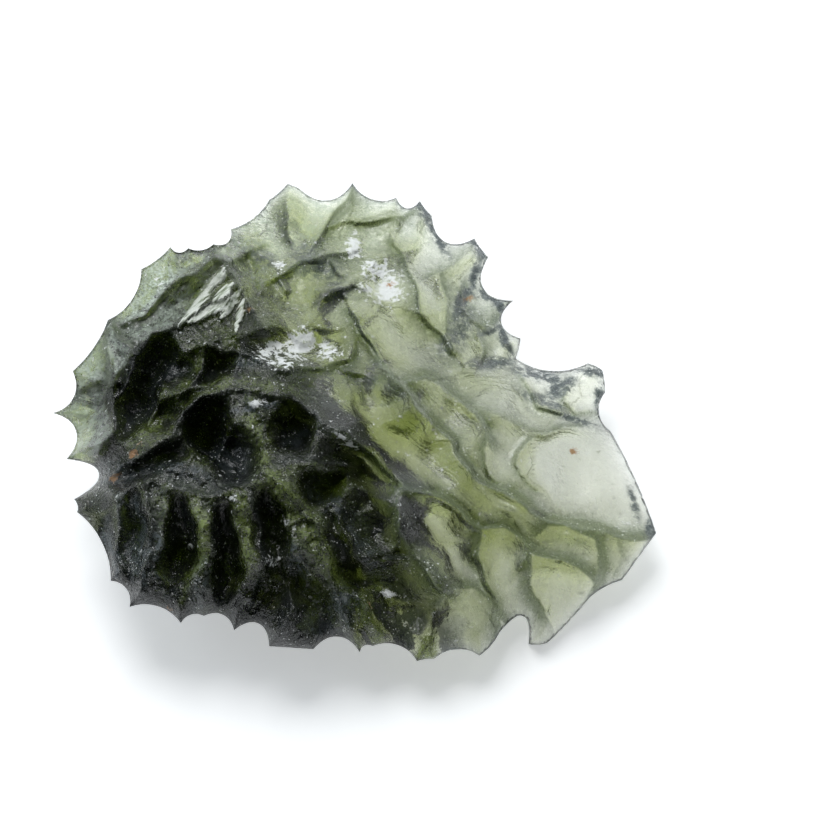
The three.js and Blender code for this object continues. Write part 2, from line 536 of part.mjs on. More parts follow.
const part = new THREE.Group();
part.name = 'moldavite_specimen';
const body = new THREE.Mesh(stone(), glass);
body.name = 'moldavite';
part.add(body);

export default part;
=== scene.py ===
"""Moldavite: one piece of natural green glass, etched into sharp crests and cups, on a pale floor.

The stone is built in mesh code from the same named sizes as its CAD solid, with the finer levels of
etching added: scallops about 0.8 and 0.35 mm wide in the mesh, striations and pores in the material.
Fields stored on the mesh tell the material where the skin is hazy, smoky or dirty, and where shade,
grey sheen and olive glow are painted on it.
"""
import math

import bpy
import numpy as np
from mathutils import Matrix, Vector
from mathutils.geometry import delaunay_2d_cdt


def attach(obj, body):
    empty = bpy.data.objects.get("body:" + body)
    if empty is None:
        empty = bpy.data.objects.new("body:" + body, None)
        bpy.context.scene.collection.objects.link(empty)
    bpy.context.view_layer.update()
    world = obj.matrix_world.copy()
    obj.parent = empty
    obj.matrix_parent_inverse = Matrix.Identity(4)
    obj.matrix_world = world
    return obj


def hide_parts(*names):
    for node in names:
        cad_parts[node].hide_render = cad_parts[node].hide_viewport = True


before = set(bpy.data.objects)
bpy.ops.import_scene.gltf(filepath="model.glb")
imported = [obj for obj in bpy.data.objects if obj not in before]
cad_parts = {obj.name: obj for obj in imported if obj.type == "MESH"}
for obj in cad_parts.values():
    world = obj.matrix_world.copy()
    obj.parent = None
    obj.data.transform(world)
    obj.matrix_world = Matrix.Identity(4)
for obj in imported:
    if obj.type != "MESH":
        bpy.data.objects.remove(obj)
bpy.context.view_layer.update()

# ---- driving sizes, in millimetres unless said otherwise ----
GRID = 18.0                 # sketch grid lines per millimetre of stone
HOME = (354.0, 420.0)       # grid point that is u = 0, v = 0
LEAN = math.radians(55)     # between the sketch sheet and the upright; also the camera's elevation
CENTRE = (0.03, -2.17)      # taken off x and y so that the box stands over the origin
CELL_FACE, CELL_BELLY = 0.124, 0.135    # mesh spacing of the two skins
RIM_STEP = 0.12             # spacing of the rim's mesh points
RIM_SAMPLE = 0.5            # spacing of the rim points that set the height between the skins
RIM_MEAN, SPOT_MEAN = (0.02, 1.5), (0.8, 2)     # softness and power of the means over rim and spots
BITE_POWER = 2.2            # how square the bites of the rim are
EDGE_FACE, EDGE_BELLY = 1.0, 1.1        # how fast the two skins part inside the rim
LEAST, LEAST_EDGE, LEAST_SOFT = 0.22, 0.5, 0.12     # least thickness, how fast and softly it sets in
BODY_BAND = (2.0, -4.0)     # u + 0.35 v, from the scales to the thick body
DARK_BAND = (1.5, -4.0)     # u + 0.6 v, from the light half to the dark half
FOLLOW = (0.10, 1.10)       # share of the face's relief that the belly repeats: scales, thick body
BELLY_CUPS, GOLDEN_ANGLE = 90, 2.39996          # cups laid out like seeds of a sunflower
BELLY_SPAN, BELLY_MID = (15.8, 12.8), -0.3      # half length and half width of that field, its mid v
BELLY_RELIEF = 0.5          # share of the belly cups' depth, none where the glass is thin
BELLY_THIN, FINE_THIN = (0.2, 1.5), (0.0, 1.5)  # thickness over which belly relief comes in
CUP_SPILL = -0.15           # how far a crest between far cups may stand proud
FLUTE_DEPTH, FLUTE_REACH = (0.9, 0.8), (2.3, 1.9)       # of face and belly, behind the rim's bites
FLUTE_SHIFT, FLUTE_WIDTH = 0.35, 0.55   # share of the reach and of the bite's length
FLUTE_SAG = 3               # a bite less deep than this on the grid has no flute
CREST_CUT = 0.45            # share of a crest's height that is lost where the body is thick
CREST_HOLD, CREST_FADE = 0.75, 0.4      # share of a cup's depth that a crest holds back, how far off
CREST_TURN = 0.16           # width of the turn from a crest to its shade
WALL_FADE = (0.70, 0.45)    # width of the shade beyond a crest: scales, thick body
FULL_CREST = 0.5            # a crest this high has its full shade
CRUST_LUMP, BLADE_LUMP = 0.10, 0.32     # how far dirt stands off the skin
BLADE_ENDS, BLADE_SWELL, BLADE_TOP = 0.35, 0.9, 1.4     # of a blade's width; how flat its top is
SPOT_FALL = 0.7             # how fast a spot fades outward
# fine scallops: size, stretch, turn, depth, extra depth where the body is thick, seed
FACE_MIDDLE, FACE_SMALL = (0.75, 1.5, -30, 0.22, 0.12, 3), (0.33, 1.3, 20, 0.08, 0.08, 11)
BELLY_MIDDLE, BELLY_SMALL = (0.8, 1.4, 30, 0.24, 0, 7), (0.35, 1.3, -20, 0.05, 0, 13)
SHAKE, RANK, SPREAD = 0.75, 0.35, 0.55  # how scallops stray, how they differ, how wide they are

# ---- the skin: painted shade and painted olive glow, the shares of the light that they stop, and the skin's gloss ----
RIM_SMOKE, RIM_SMOKE_WIDTH = 0.16, 0.14     # dark line along the rim
RIDGE_GLOW, CHANNEL_GLOW, RIB_GLOW = 0.19, 0.12, 0.36   # olive glow painted in the dark half, on ridges, channels and ribs
PIT_SHADE, PIT_LOWER = 0.90, 0.35       # shade in the pits, and how much less it is in the flutes
PIT_START, PIT_FINE = 0.5, 3.5          # depth where a pit turns dark, weight of the fine scallops
PIT_BAND = (-3.0, -7.0)     # v, from the pits down to the flutes
LOW_SHADE = 0.45            # shade above the lower rim
LOW_BAND, LOW_LEFT = (-8.0, -10.5), (0.5, -2.0)         # v and u where that shade comes in
DEEP = 0.7                  # a cup this deep has no haze and no painted olive glow of the ridges
DARK_FROST = (0.10, 0.22)   # spots frostier than this stay out of the dark half
WALL_LIGHT, WALL_DARK = 0.85, 0.15      # shade of a crest, and what it gains in the dark half
RIB_CLEAR = 0.9             # share of the shade that a rib takes off
GLOSS, GLOSS_DARK = 0.32, 0.16          # satin of the face, and how much less it is in the dark half
BELLY_GLOSS, BELLY_GLOSS_BODY = 0.45, 0.35  # the same for the belly, less in the thick body

# ---- glass, dirt and their colours ----
IOR = 1.49
ABSORB = (0.520, 0.455, 0.980)          # per millimetre, red green blue: the glass itself
CLEAR = (1.0, 1.0, 1.0, 1)
HAZE_GLOW_COLOUR = (0.20, 0.26, 0.06, 1), (0.60, 0.68, 0.58, 1)        # dark half: mostly painted olive glow; light half: haze
SHADE_COLOUR = (0.024, 0.030, 0.032, 1), (0.185, 0.222, 0.152, 1)   # painted shade: dark half, light half
# smoky streaks and painted grey sheen
SMOKE_SHEEN_COLOUR = (0.13, 0.155, 0.165, 1)
# chalky crust and the painted glints
CHALK_GLINT_COLOUR = (0.88, 0.90, 0.89, 1)
BLADE_COLOUR = (0.36, 0.42, 0.30, 1), (0.84, 0.87, 0.80, 1)       # between the fibres, the fibres
RUST_COLOUR = (0.42, 0.22, 0.09, 1)
# how noise turns into specks and patches: from, to, strength at each
HAZE_SPECK, HAZE_PATCH = (0.36, 0.66, 0.35, 1.65), (0.36, 0.62, 0.55, 1.45)
SHADE_SPECK, SHADE_PATCH = (0.36, 0.66, 0.60, 1.30), (0.35, 0.62, 0.60, 0.95)
SMOKE_SPECK, SMOKE_PATCH = (0.36, 0.60, 0.5, 1.2), (0.38, 0.60, 0.15, 1.0)
CHALK_GLINT_SOLID, BLADE_SOLID, RUST_SOLID = 0.90, 0.85, 0.65     # share of the light that dirt and the painted glints stop
BLADE_TURN, BLADE_FIBRE = 0.55, (7.0, 0.6, 3.0)             # way of the fibres, their fineness
STRIA_PITCH, STRIA_HEIGHT = 0.27, 0.020     # striations and pores, in millimetres
GRAIN_HEIGHT, MEDIUM_HEIGHT, GLINT_HEIGHT = 0.045, 0.020, 0.10
# noises of the skin: waves per millimetre, detail, roughness
COARSE, MEDIUM, GRAIN = (0.55, 1), (2.2, 3, 0.6), (9.0, 2, 0.65)
SHREDS, GLINT, FIBRE = (2.6, 3, 0.65), (4.0, 1.0), (1.0, 3)
GLINT_DOT_SCALE = 3.2            # painted glints: white dots per millimetre

# ---- studio, in metres ----
FLOOR_COLOUR, FLOOR_ROUGHNESS = (0.88, 0.88, 0.88, 1), 0.8
FLOOR_GLOW, FLOOR_GLOW_STRENGTH = (0.96, 0.985, 1.0, 1), 0.46
FLOOR_HALF = 1.2            # half of the floor's side
LAMPS = [   # name, place, size, power, colour
    ("key", (-0.14, 0.36, 0.68), 0.55, 3.9, (0.98, 0.99, 1.0)),
    ("fill", (-0.62, 0.10, 0.38), 0.40, 0.7, (0.78, 0.88, 1.0)),
]
TENT_COLOUR = (0.90, 0.97, 1.0, 1)
TENT_BRIGHTEST = (-0.15, 0.96, 0.24)    # way to the brightest part of the tent
TENT_RANGE = (-0.30, 1.00, 0.12, 0.85)  # cosine to that way, from and to, light at each
OPENING_RANGE = (0.45, 0.95, 1.0, 0.04)     # cosine to the lens, from and to, share of light at each
FRAME_PX, LENS, SENSOR = 826, 1000.0, 36.0  # pixels of the sketch grid, millimetres
AIM_LIFT = 0.006            # from the sheet to the point that the camera looks at

# rim tips in order: grid x, grid y, height, sag of the bite to the next tip (grid)
RIM = [
  [53, 413, 5.4, 12], [73, 371, 7.4, 4], [108, 320, 8.6, 9], [141, 269, 8.8, 2],
  [170, 247, 9.0, 5], [188, 248, 9.2, 4], [213, 244, 9.0, 8], [230, 228, 5.6, 5],
  [268, 198, 3.8, 1], [286, 182, 3.4, -1], [300, 188, 3.4, 14], [352, 181, 3.6, 9],
  [396, 196, 3.4, 9], [420, 199, 3.4, 1], [432, 214, 3.5, 17], [475, 237, 3.4, 1],
  [489, 256, 3.3, 20], [514, 300, 3.0, 16], [521, 338, 2.9, -1], [516, 358, 2.8, 10],
  [588, 363, 2.6, -1], [603, 370, 2.5, -1], [606, 392, 2.5, 9], [611, 431, 2.4, -3],
  [656, 533, 2.2, 0], [622, 580, 1.5, 2], [590, 597, 0.8, -1], [547, 643, 0.0, -1],
  [528, 644, 0.0, 24], [499, 632, 2.0, -2], [479, 655, 2.0, 8], [434, 658, 2.4, 1],
  [417, 660, 2.6, 9], [373, 645, 2.8, 4], [360, 651, 3.0, 14], [314, 648, 3.2, 0],
  [270, 645, 3.4, 16], [235, 629, 3.7, 9], [205, 615, 3.8, 5], [182, 622, 4.0, 9],
  [131, 606, 4.3, 8], [112, 580, 4.6, 9], [78, 512, 5.0, 2], [75, 499, 5.2, 29],
  [67, 459, 5.2, 17],
]

# spot heights of the face without its cups: grid x, grid y, height
FACE_LEVEL = [
  # folded rim and its crest
  [165, 275, 9.9], [205, 262, 9.9], [255, 245, 7.0], [118, 350, 9.3], [90, 400, 7.6],
  # upper lobe
  [300, 225, 5.2], [350, 215, 5.0], [400, 230, 5.0], [440, 260, 4.9], [480, 300, 4.4],
  [500, 345, 4.2], [350, 330, 8.2], [300, 290, 7.6], [450, 330, 5.8], [400, 300, 6.6],
  # valley shoulders and the thick body
  [150, 350, 9.6], [180, 310, 9.8], [240, 330, 9.6], [130, 440, 8.4], [165, 440, 9.0],
  [205, 400, 9.9], [255, 388, 10.0], [320, 420, 9.8], [240, 480, 9.8], [265, 475, 9.9],
  [340, 530, 8.4], [150, 490, 8.6], [200, 510, 9.2], [270, 540, 8.6],
  # flutes down to the lower rim
  [350, 600, 6.0], [280, 600, 6.2], [200, 580, 6.8], [140, 560, 7.0], [110, 540, 6.6],
  # scales falling to the thin lobe
  [400, 400, 8.6], [400, 490, 7.8], [455, 455, 7.0], [480, 400, 6.3], [540, 400, 4.7],
  [590, 400, 3.8], [520, 480, 5.5], [590, 480, 4.2], [560, 550, 3.5], [500, 570, 4.3],
  [430, 570, 6.0], [430, 620, 4.6], [540, 600, 2.8], [610, 540, 2.9],
]
# spot thicknesses: grid x, grid y, millimetres down from the face
THICKNESS = [
  # folded rim
  [85, 420, 1.8], [100, 360, 1.1], [130, 310, 1.3], [160, 280, 1.3], [205, 262, 2.8],
  [245, 250, 2.0], [90, 490, 3.0],
  # valley inside the rim
  [150, 350, 7.5], [140, 400, 7.0], [180, 370, 6.0], [230, 365, 4.0], [200, 310, 4.5],
  # thick body with the deep cup
  [205, 430, 9.5], [240, 460, 8.5], [170, 440, 5.0], [150, 475, 6.5], [270, 395, 3.5],
  [300, 430, 5.5], [300, 480, 6.5], [335, 485, 6.5], [360, 520, 4.5],
  # flutes
  [120, 530, 6.5], [140, 580, 5.5], [180, 540, 8.0], [225, 550, 7.0], [270, 530, 7.5],
  [200, 595, 5.0], [250, 600, 4.5], [310, 600, 3.6], [370, 570, 3.4], [360, 630, 2.6],
  # middle
  [350, 400, 2.6], [400, 400, 1.9], [380, 450, 1.6], [400, 580, 2.6], [410, 620, 2.0],
  [440, 530, 1.3], [455, 620, 1.3],
  # scales and thin lobe
  [420, 455, 1.2], [460, 480, 1.1], [480, 400, 0.9], [500, 450, 0.8], [540, 390, 0.9],
  [590, 385, 0.4], [560, 470, 0.1], [600, 470, 0.1], [630, 520, 0.3], [540, 520, 0.7],
  [500, 590, 0.5], [560, 550, 0.5], [560, 600, 0.4], [600, 560, 0.3], [520, 625, 0.4],
  # upper lobe
  [300, 290, 2.1], [260, 235, 1.3], [310, 225, 2.1], [350, 220, 1.8], [390, 230, 1.3],
  [430, 270, 0.9], [465, 260, 0.8], [400, 300, 1.0], [350, 330, 1.7], [300, 340, 2.1],
  [420, 340, 1.2], [470, 320, 1.0], [500, 340, 1.1], [250, 310, 3.4],
]
# channels of the belly below the ribs: depth, half width, then grid points
CHANNELS = [
  [2.5, 0.6, [252, 400], [256, 440], [264, 476]],
  [3.0, 0.7, [264, 476], [285, 500], [305, 525], [325, 560], [345, 600]],
  [2.5, 0.5, [203, 500], [205, 530], [203, 570], [205, 600]],
  [2.0, 0.5, [243, 500], [246, 540], [243, 580]],
  [2.0, 0.5, [160, 500], [163, 540], [160, 590]],
  [1.5, 0.5, [120, 500], [126, 550]],
]
# bosses of the belly that the table has worn flat: grid x, grid y, radius and drop in millimetres
FEET = [
  [218, 548, 2.2, 2.0],
]

# cups of the face: grid x, grid y, half length, half width (grid), turn (degrees), depth,
# lean of the floor along and across
CUPS = [
  # scales of the right half
  [418, 455, 86, 32, -29, 0.4, 0.1, -0.3], [437, 412, 46, 21, -45, 0.5, 0.1, -0.5],
  [530, 500, 76, 19, -28, 0.5, 0, -0.4], [505, 452, 30, 30, -60, 0.6, 0.3, 0],
  [590, 475, 78, 46, -25, 0.8, 0, -0.3], [500, 400, 72, 19, -17, 0.5, 0, -0.4],
  [545, 385, 24, 13, 0, 0.5, 0, 0], [585, 392, 20, 22, 0, 0.5, 0, 0],
  [565, 552, 44, 25, -25, 0.5, 0, -0.4], [622, 557, 30, 20, 15, 0.4, 0, 0],
  [556, 600, 46, 30, 70, 0.5, 0, 0], [507, 580, 60, 22, -82, 0.5, 0, 0],
  [442, 515, 42, 23, -28, 0.7, 0, -0.6], [470, 568, 44, 19, -70, 0.8, 0, -0.5],
  [458, 620, 42, 28, -65, 0.7, 0, 0], [395, 578, 50, 23, -20, 1.1, 0, -0.5],
  [385, 612, 30, 15, -75, 1.0, 0, 0], [420, 617, 26, 19, -60, 0.9, 0, 0],
  # middle
  [405, 345, 60, 30, -32, 0.6, 0.2, -0.3], [375, 400, 36, 22, -50, 0.8, 0, -0.4],
  [330, 400, 40, 24, -15, 0.9, 0, -0.4], [355, 465, 44, 20, -35, 1.3, 0, -0.4],
  [325, 487, 26, 21, 10, 1.9, 0, -0.3], [370, 525, 32, 34, -30, 1.4, 0, -0.3],
  [290, 428, 24, 28, 0, 1.9, 0, -0.2], [209, 430, 27, 34, -10, 3.0, 0, -0.2],
  [203, 441, 15, 19, -10, 4.0, 0, 0],
  [237, 455, 30, 34, 0, 1.9, 0, 0],
  # flutes of the lower left
  [134, 540, 60, 18, -86, 1.9, 0, 0], [110, 545, 50, 12, -86, 1.2, 0, 0],
  [180, 548, 60, 19, 85, 2.3, 0.1, 0], [228, 560, 60, 16, -88, 2.0, 0, 0],
  [275, 540, 54, 18, -76, 2.1, 0, 0], [255, 605, 34, 16, 86, 1.4, 0, 0],
  [300, 585, 44, 15, -62, 1.2, 0, 0], [315, 610, 40, 24, -80, 1.6, 0, 0.2],
  [345, 560, 50, 15, -60, 1.4, 0, 0],
  # left end: deep valley inside the folded rim, and the rim itself
  [140, 385, 62, 26, 62, 2.6, 0, -0.4], [205, 366, 52, 20, 8, 1.8, 0, -0.3],
  [180, 408, 40, 15, 25, 1.2, 0, 0], [150, 465, 44, 15, 28, 1.1, 0, 0],
  [95, 420, 34, 26, 70, 0.8, 0, 0], [90, 462, 34, 13, 15, 0.7, 0, 0],
  [95, 500, 24, 12, 20, 0.7, 0, 0], [122, 362, 38, 15, 60, 0.6, 0, 0],
  [98, 360, 30, 16, 55, 0.6, 0, 0], [140, 310, 40, 18, 25, 0.6, 0, 0],
  [160, 278, 26, 15, 45, 0.5, 0, 0], [200, 295, 50, 22, 38, 1.6, 0, -0.4],
  [245, 300, 24, 34, -10, 1.2, 0, 0], [270, 350, 34, 18, 10, 1.0, 0, 0],
  # upper lobe
  [200, 262, 40, 11, 18, 0.5, 0, 0], [262, 232, 36, 22, 35, 0.5, 0, 0],
  [305, 230, 34, 28, 60, 0.6, 0, 0], [290, 290, 36, 36, 0, 0.7, 0, 0],
  [340, 225, 30, 22, 45, 0.6, 0, 0], [320, 275, 30, 16, 10, 1.0, 0, -0.3],
  [380, 235, 30, 20, -10, 0.7, 0, 0], [345, 305, 26, 24, 20, 0.8, 0, 0],
  [385, 285, 26, 22, 0, 0.7, 0, 0], [435, 280, 46, 34, -30, 0.6, 0, 0],
  [455, 330, 34, 26, -60, 0.6, 0, 0], [485, 308, 24, 20, 0, 0.8, 0, 0],
  [490, 345, 26, 14, 80, 0.6, 0, 0], [315, 345, 34, 18, 10, 0.8, 0, -0.3],
]

# crest lines, which are steps: height, width of the steep side (left of travel) and of the
# slope that leads up to it, then grid points
CRESTS = [
  # the long diagonals between the scales
  [1.00, 0.50, 3.0, [400, 385], [406, 397], [414, 409], [428, 421], [441, 432], [450, 441],
    [455, 454], [464, 467], [476, 480], [490, 486], [505, 491], [518, 500], [530, 513],
    [545, 521], [570, 524], [590, 531], [615, 538], [652, 539]],
  [0.60, 0.25, 1.6, [400, 385], [378, 352], [366, 335], [354, 313]],
  [0.60, 0.45, 2.0, [400, 385], [425, 380], [440, 386], [465, 405], [476, 416], [485, 440]],
  [0.30, 0.30, 1.2, [465, 403], [500, 418], [530, 430], [550, 433], [580, 428]],
  [0.80, 0.60, 2.8, [410, 487], [395, 478], [370, 455], [345, 430], [320, 420]],
  [1.00, 0.45, 2.6, [404, 488], [425, 494], [440, 500], [452, 507], [465, 518], [478, 528],
    [490, 527], [502, 528], [513, 535], [523, 544], [532, 553], [560, 559], [576, 568], [592, 583]],
  [0.90, 0.60, 2.2, [440, 590], [425, 570], [408, 545], [402, 525], [398, 505], [400, 488]],
  [0.80, 0.50, 2.6, [499, 632], [497, 600], [487, 580], [480, 555], [478, 522]],
  [0.60, 0.45, 2.6, [545, 612], [530, 580], [530, 552]],
  [0.70, 0.40, 2.2, [540, 530], [549, 524], [568, 524], [583, 532], [596, 541], [600, 553],
    [597, 568], [592, 582]],
  [0.25, 0.30, 1.5, [618, 542], [622, 556], [612, 572]],
  [0.45, 0.35, 1.5, [440, 600], [450, 587], [475, 590], [490, 603], [498, 616]],
  [0.50, 0.35, 1.8, [385, 560], [410, 560], [430, 573], [442, 592]],
  [0.35, 0.25, 1.2, [510, 487], [495, 478], [485, 462], [483, 450], [488, 440]],
  [0.30, 0.25, 1.2, [536, 490], [520, 475], [515, 462], [518, 450], [530, 440]],
  [0.30, 0.25, 1.0, [560, 412], [540, 405], [530, 392], [522, 378]],
  [0.30, 0.25, 1.0, [600, 412], [575, 414], [563, 400], [568, 385]],
  # ring round the deep cup, and the spurs that leave it
  [0.60, 0.30, 0.9, [320, 418], [290, 395], [250, 390], [225, 392], [203, 398], [186, 412],
    [172, 434], [150, 450], [128, 462], [100, 482]],
  [0.50, 0.30, 0.9, [150, 470], [180, 488], [210, 495], [240, 486], [264, 476], [290, 464],
    [315, 458], [345, 466]],
  [0.50, 0.30, 0.7, [264, 476], [268, 440], [265, 418], [250, 402]],
  [0.60, 0.35, 0.9, [352, 640], [340, 600], [330, 560], [315, 525], [295, 500], [268, 474]],
  # folded rim
  [0.80, 0.40, 1.8, [108, 322], [116, 336], [128, 346], [137, 356], [135, 372], [123, 394],
    [113, 403], [115, 430], [101, 454]],
  [0.70, 0.35, 1.6, [228, 292], [205, 306], [181, 325], [170, 330], [150, 335], [137, 356]],
  [0.60, 0.35, 1.4, [252, 250], [230, 263], [214, 260], [192, 274], [168, 283], [161, 297],
    [145, 315], [120, 322]],
  [0.45, 0.25, 1.0, [112, 398], [114, 370], [108, 345], [108, 322]],
  [0.40, 0.25, 1.0, [110, 380], [92, 380], [78, 388]],
  [0.35, 0.35, 1.0, [262, 330], [250, 310], [240, 285], [228, 264]],
  [0.50, 0.30, 1.2, [352, 352], [345, 362], [320, 368], [280, 368], [250, 357], [225, 350]],
  [0.50, 0.30, 1.4, [243, 345], [242, 358], [236, 374]],
  [0.50, 0.30, 1.4, [207, 350], [202, 365], [193, 380]],
  # ribs between the flutes
  [0.60, 0.30, 1.0, [112, 490], [121, 520], [121, 550], [115, 575]],
  [0.60, 0.30, 1.3, [146, 485], [152, 520], [150, 556], [142, 590]],
  [0.60, 0.30, 1.0, [205, 500], [214, 530], [208, 565], [202, 605]],
  [0.60, 0.30, 1.2, [248, 500], [264, 530], [262, 560], [250, 600]],
  # upper lobe
  [0.50, 0.30, 1.5, [352, 182], [345, 200], [332, 215], [318, 240], [300, 262], [278, 278]],
  [0.40, 0.25, 1.3, [288, 238], [286, 222], [288, 203]],
  [0.40, 0.30, 1.2, [420, 200], [400, 212], [375, 217], [356, 222]],
  [0.50, 0.30, 1.0, [350, 250], [325, 256], [300, 262]],
  [0.40, 0.30, 1.3, [452, 352], [440, 335], [418, 312], [420, 290], [408, 262], [395, 240]],
  [0.45, 0.25, 1.2, [462, 288], [463, 306], [472, 322], [488, 327], [503, 318]],
  [0.35, 0.25, 1.0, [440, 270], [448, 300], [444, 330]],
  [0.35, 0.25, 1.0, [476, 330], [480, 345], [478, 360]],
  [0.40, 0.30, 1.0, [400, 376], [380, 372], [352, 374]],
  [0.30, 0.20, 1.0, [427, 278], [442, 271], [461, 256], [478, 239]],
  [0.25, 0.20, 0.8, [340, 274], [325, 257], [302, 263]],
  [0.30, 0.20, 0.8, [362, 290], [351, 284], [334, 286], [327, 296]],
  [0.25, 0.20, 0.9, [257, 252], [272, 261], [280, 275], [287, 293]],
  [0.25, 0.20, 0.9, [396, 204], [378, 212], [351, 219], [332, 226]],
]

# spots of the face's frosting: grid x, grid y, share of the light that stops at the skin
FROST = [
  # folded rim
  [85, 420, 0.32], [100, 360, 0.48], [130, 320, 0.44], [150, 285, 0.46], [205, 262, 0.20],
  [245, 245, 0.22], [90, 490, 0.14],
  # valley, and the plateau round the deep cup
  [150, 360, 0.00], [130, 400, 0.00], [190, 365, 0.00], [230, 330, 0.05], [215, 385, 0.05],
  [150, 440, 0.05], [280, 372, 0.08], [330, 395, 0.04],
  # deep cup, webs and flutes
  [207, 435, 0.00], [240, 450, 0.00], [290, 430, 0.00], [150, 482, 0.00], [200, 492, 0.02],
  [240, 505, 0.02], [130, 540, 0.00], [180, 540, 0.00], [225, 550, 0.00], [280, 530, 0.00],
  [220, 600, 0.02], [150, 580, 0.02], [320, 610, 0.02],
  # middle
  [340, 480, 0.00], [360, 520, 0.00], [400, 580, 0.03], [385, 440, 0.00], [420, 455, 0.02],
  [440, 530, 0.02], [455, 620, 0.05],
  # scales and thin lobe
  [500, 400, 0.03], [560, 390, 0.02], [600, 470, 0.00], [540, 500, 0.00], [500, 560, 0.03],
  [560, 560, 0.03], [560, 600, 0.03], [620, 520, 0.00],
  # upper lobe
  [300, 290, 0.08], [260, 235, 0.15], [310, 225, 0.18], [350, 220, 0.18], [400, 230, 0.12],
  [430, 270, 0.06], [470, 300, 0.10], [350, 330, 0.06], [400, 350, 0.04],
]

# painted olive glow on the ribs between the pits, where the glass glows: strength, half width (grid),
# points on the grid
RIBS = [
    (1.00, 10, [253, 412], [262, 436], [266, 462], [286, 502], [308, 523], [322, 550], [341, 580]),
    (0.80, 6, [213, 508], [208, 530], [203, 552], [190, 578], [183, 602]),
    (0.55, 7, [240, 512], [252, 545], [238, 586]),
    (0.80, 9, [136, 440], [166, 414], [189, 394], [240, 380], [290, 388], [345, 402]),
    (0.65, 8, [205, 354], [192, 374], [182, 398]),
    (0.55, 8, [268, 470], [302, 465], [336, 458]),
    (0.85, 11, [296, 552], [312, 585], [322, 612]),
    (0.45, 10, [270, 515], [282, 560], [270, 600]),
    (0.50, 8, [322, 480], [352, 505], [372, 548], [380, 590]),
]

# smoky streaks in the thin rim and painted grey sheen in the body: grid x, grid y, half length,
# half width, turn, strength
SMOKE_AND_SHEEN = [
    (431, 222, 24, 4, -62, 0.9), (480, 246, 10, 5, -60, 0.9), (475, 274, 16, 3, 75, 0.8),
    (460, 306, 13, 4, 75, 0.9), (484, 295, 18, 3, -12, 0.6), (500, 306, 12, 3, -50, 0.8),
    (456, 336, 20, 9, 60, 0.45), (505, 341, 14, 3, -70, 0.8), (492, 330, 10, 3, 20, 0.6),
    (490, 364, 18, 4, 4, 0.7), (540, 376, 22, 4, -14, 0.6), (562, 388, 12, 6, 30, 0.6),
    (592, 372, 14, 3, -12, 0.8), (600, 398, 4, 10, 0, 0.6), (545, 402, 18, 4, -20, 0.5),
    (575, 420, 20, 3, -18, 0.4), (652, 530, 5, 8, 0, 0.7), (634, 505, 3, 14, 15, 0.4),
    (318, 270, 20, 6, -8, 0.6), (334, 296, 9, 6, 20, 0.6), (300, 258, 10, 6, 40, 0.4),
    (262, 258, 10, 4, -30, 0.5), (250, 362, 14, 4, 0, 0.4), (112, 548, 24, 5, -78, 0.75),
    (137, 535, 28, 9, -80, 1.0), (160, 560, 26, 6, -80, 0.5), (335, 612, 20, 13, 40, 0.75),
    (105, 470, 16, 8, 10, 0.6), (255, 408, 26, 3, 8, 0.4), (330, 500, 26, 11, -50, 0.40),
    (372, 560, 26, 9, -60, 0.45), (298, 566, 20, 9, -70, 0.40), (200, 590, 20, 6, 80, 0.35),
    (186, 470, 22, 6, -15, 0.40),
]

# ---- dirt that stays on the stone: grid x, grid y, half length, half width, turn, strength ----
CRUST = [       # chalky white
    (353, 246, 6, 12, 0, 1.0), (378, 270, 18, 9, -20, 0.9), (388, 290, 14, 12, 30, 1.0),
    (368, 290, 8, 8, 0, 0.6), (280, 265, 5, 6, 0, 0.8), (300, 344, 15, 12, 20, 1.0),
    (272, 350, 17, 7, 25, 0.8), (283, 362, 12, 6, -10, 0.7), (328, 350, 12, 10, 0, 0.7),
    (258, 403, 7, 4, 10, 0.9), (346, 440, 12, 3, -38, 0.9), (190, 545, 4, 4, 0, 0.5),
    (273, 560, 6, 5, 0, 0.6), (388, 592, 8, 4, -15, 0.8), (407, 625, 6, 5, 0, 0.6),
    (160, 282, 6, 10, 10, 0.4), (318, 240, 4, 4, 0, 0.4), (232, 437, 3, 3, 0, 0.4),
    (236, 498, 5, 4, 0, 0.6), (287, 521, 4, 4, 0, 0.7), (415, 312, 4, 4, 0, 0.4),
]
BLADES = [      # pale fibrous blades in the valley: ends on the grid, half width
    (180, 327, 224, 268, 4.5), (190, 322, 236, 296, 5.5), (214, 300, 232, 284, 5),
    (222, 318, 240, 290, 4.5), (236, 330, 243, 300, 4), (216, 284, 226, 272, 4),
]
STAIN = [       # iron stains
    (135, 453, 7, 4, 60, 0.8), (116, 477, 8, 3.5, 40, 0.8), (170, 610, 5, 6, 0, 0.7),
    (574, 451, 5, 4, 0, 0.9), (470, 298, 9, 3, 10, 0.8), (390, 284, 7, 4, 0, 0.6),
    (270, 600, 5, 9, 0, 0.35), (247, 309, 8, 5, 0, 0.5), (370, 600, 4, 12, 0, 0.4),
    (143, 442, 4, 5, 20, 0.5), (570, 410, 8, 5, 0, 0.2), (557, 568, 1.6, 1.6, 0, 0.6),
]


def across(gx):
    """u on the leaning sheet, in millimetres, from grid x."""
    return (np.asarray(gx, float) - HOME[0]) / GRID


def up(gy):
    """v on the leaning sheet, in millimetres, from grid y."""
    return (HOME[1] - np.asarray(gy, float)) / GRID


def to_line(points):
    """A line on the sheet from its grid points."""
    return [(float(across(x)), float(up(y))) for x, y in points]


def place(u, v, z):
    """From the leaning sheet to the table, in metres."""
    y = (v - z * math.cos(LEAN)) / math.sin(LEAN)
    return np.stack([u - CENTRE[0], y - CENTRE[1], z], axis=-1) / 1000


# ---- rim ----
def bites():
    """From tip to tip: both points, length, inward normal, sag and both heights."""
    for a, b in zip(RIM, RIM[1:] + RIM[:1]):
        A = np.array([across(a[0]), up(a[1])])
        B = np.array([across(b[0]), up(b[1])])
        length = math.hypot(*(B - A))
        inward = np.array([B[1] - A[1], A[0] - B[0]]) / length
        yield A, B, length, inward, a[3] / GRID, a[2], b[2]


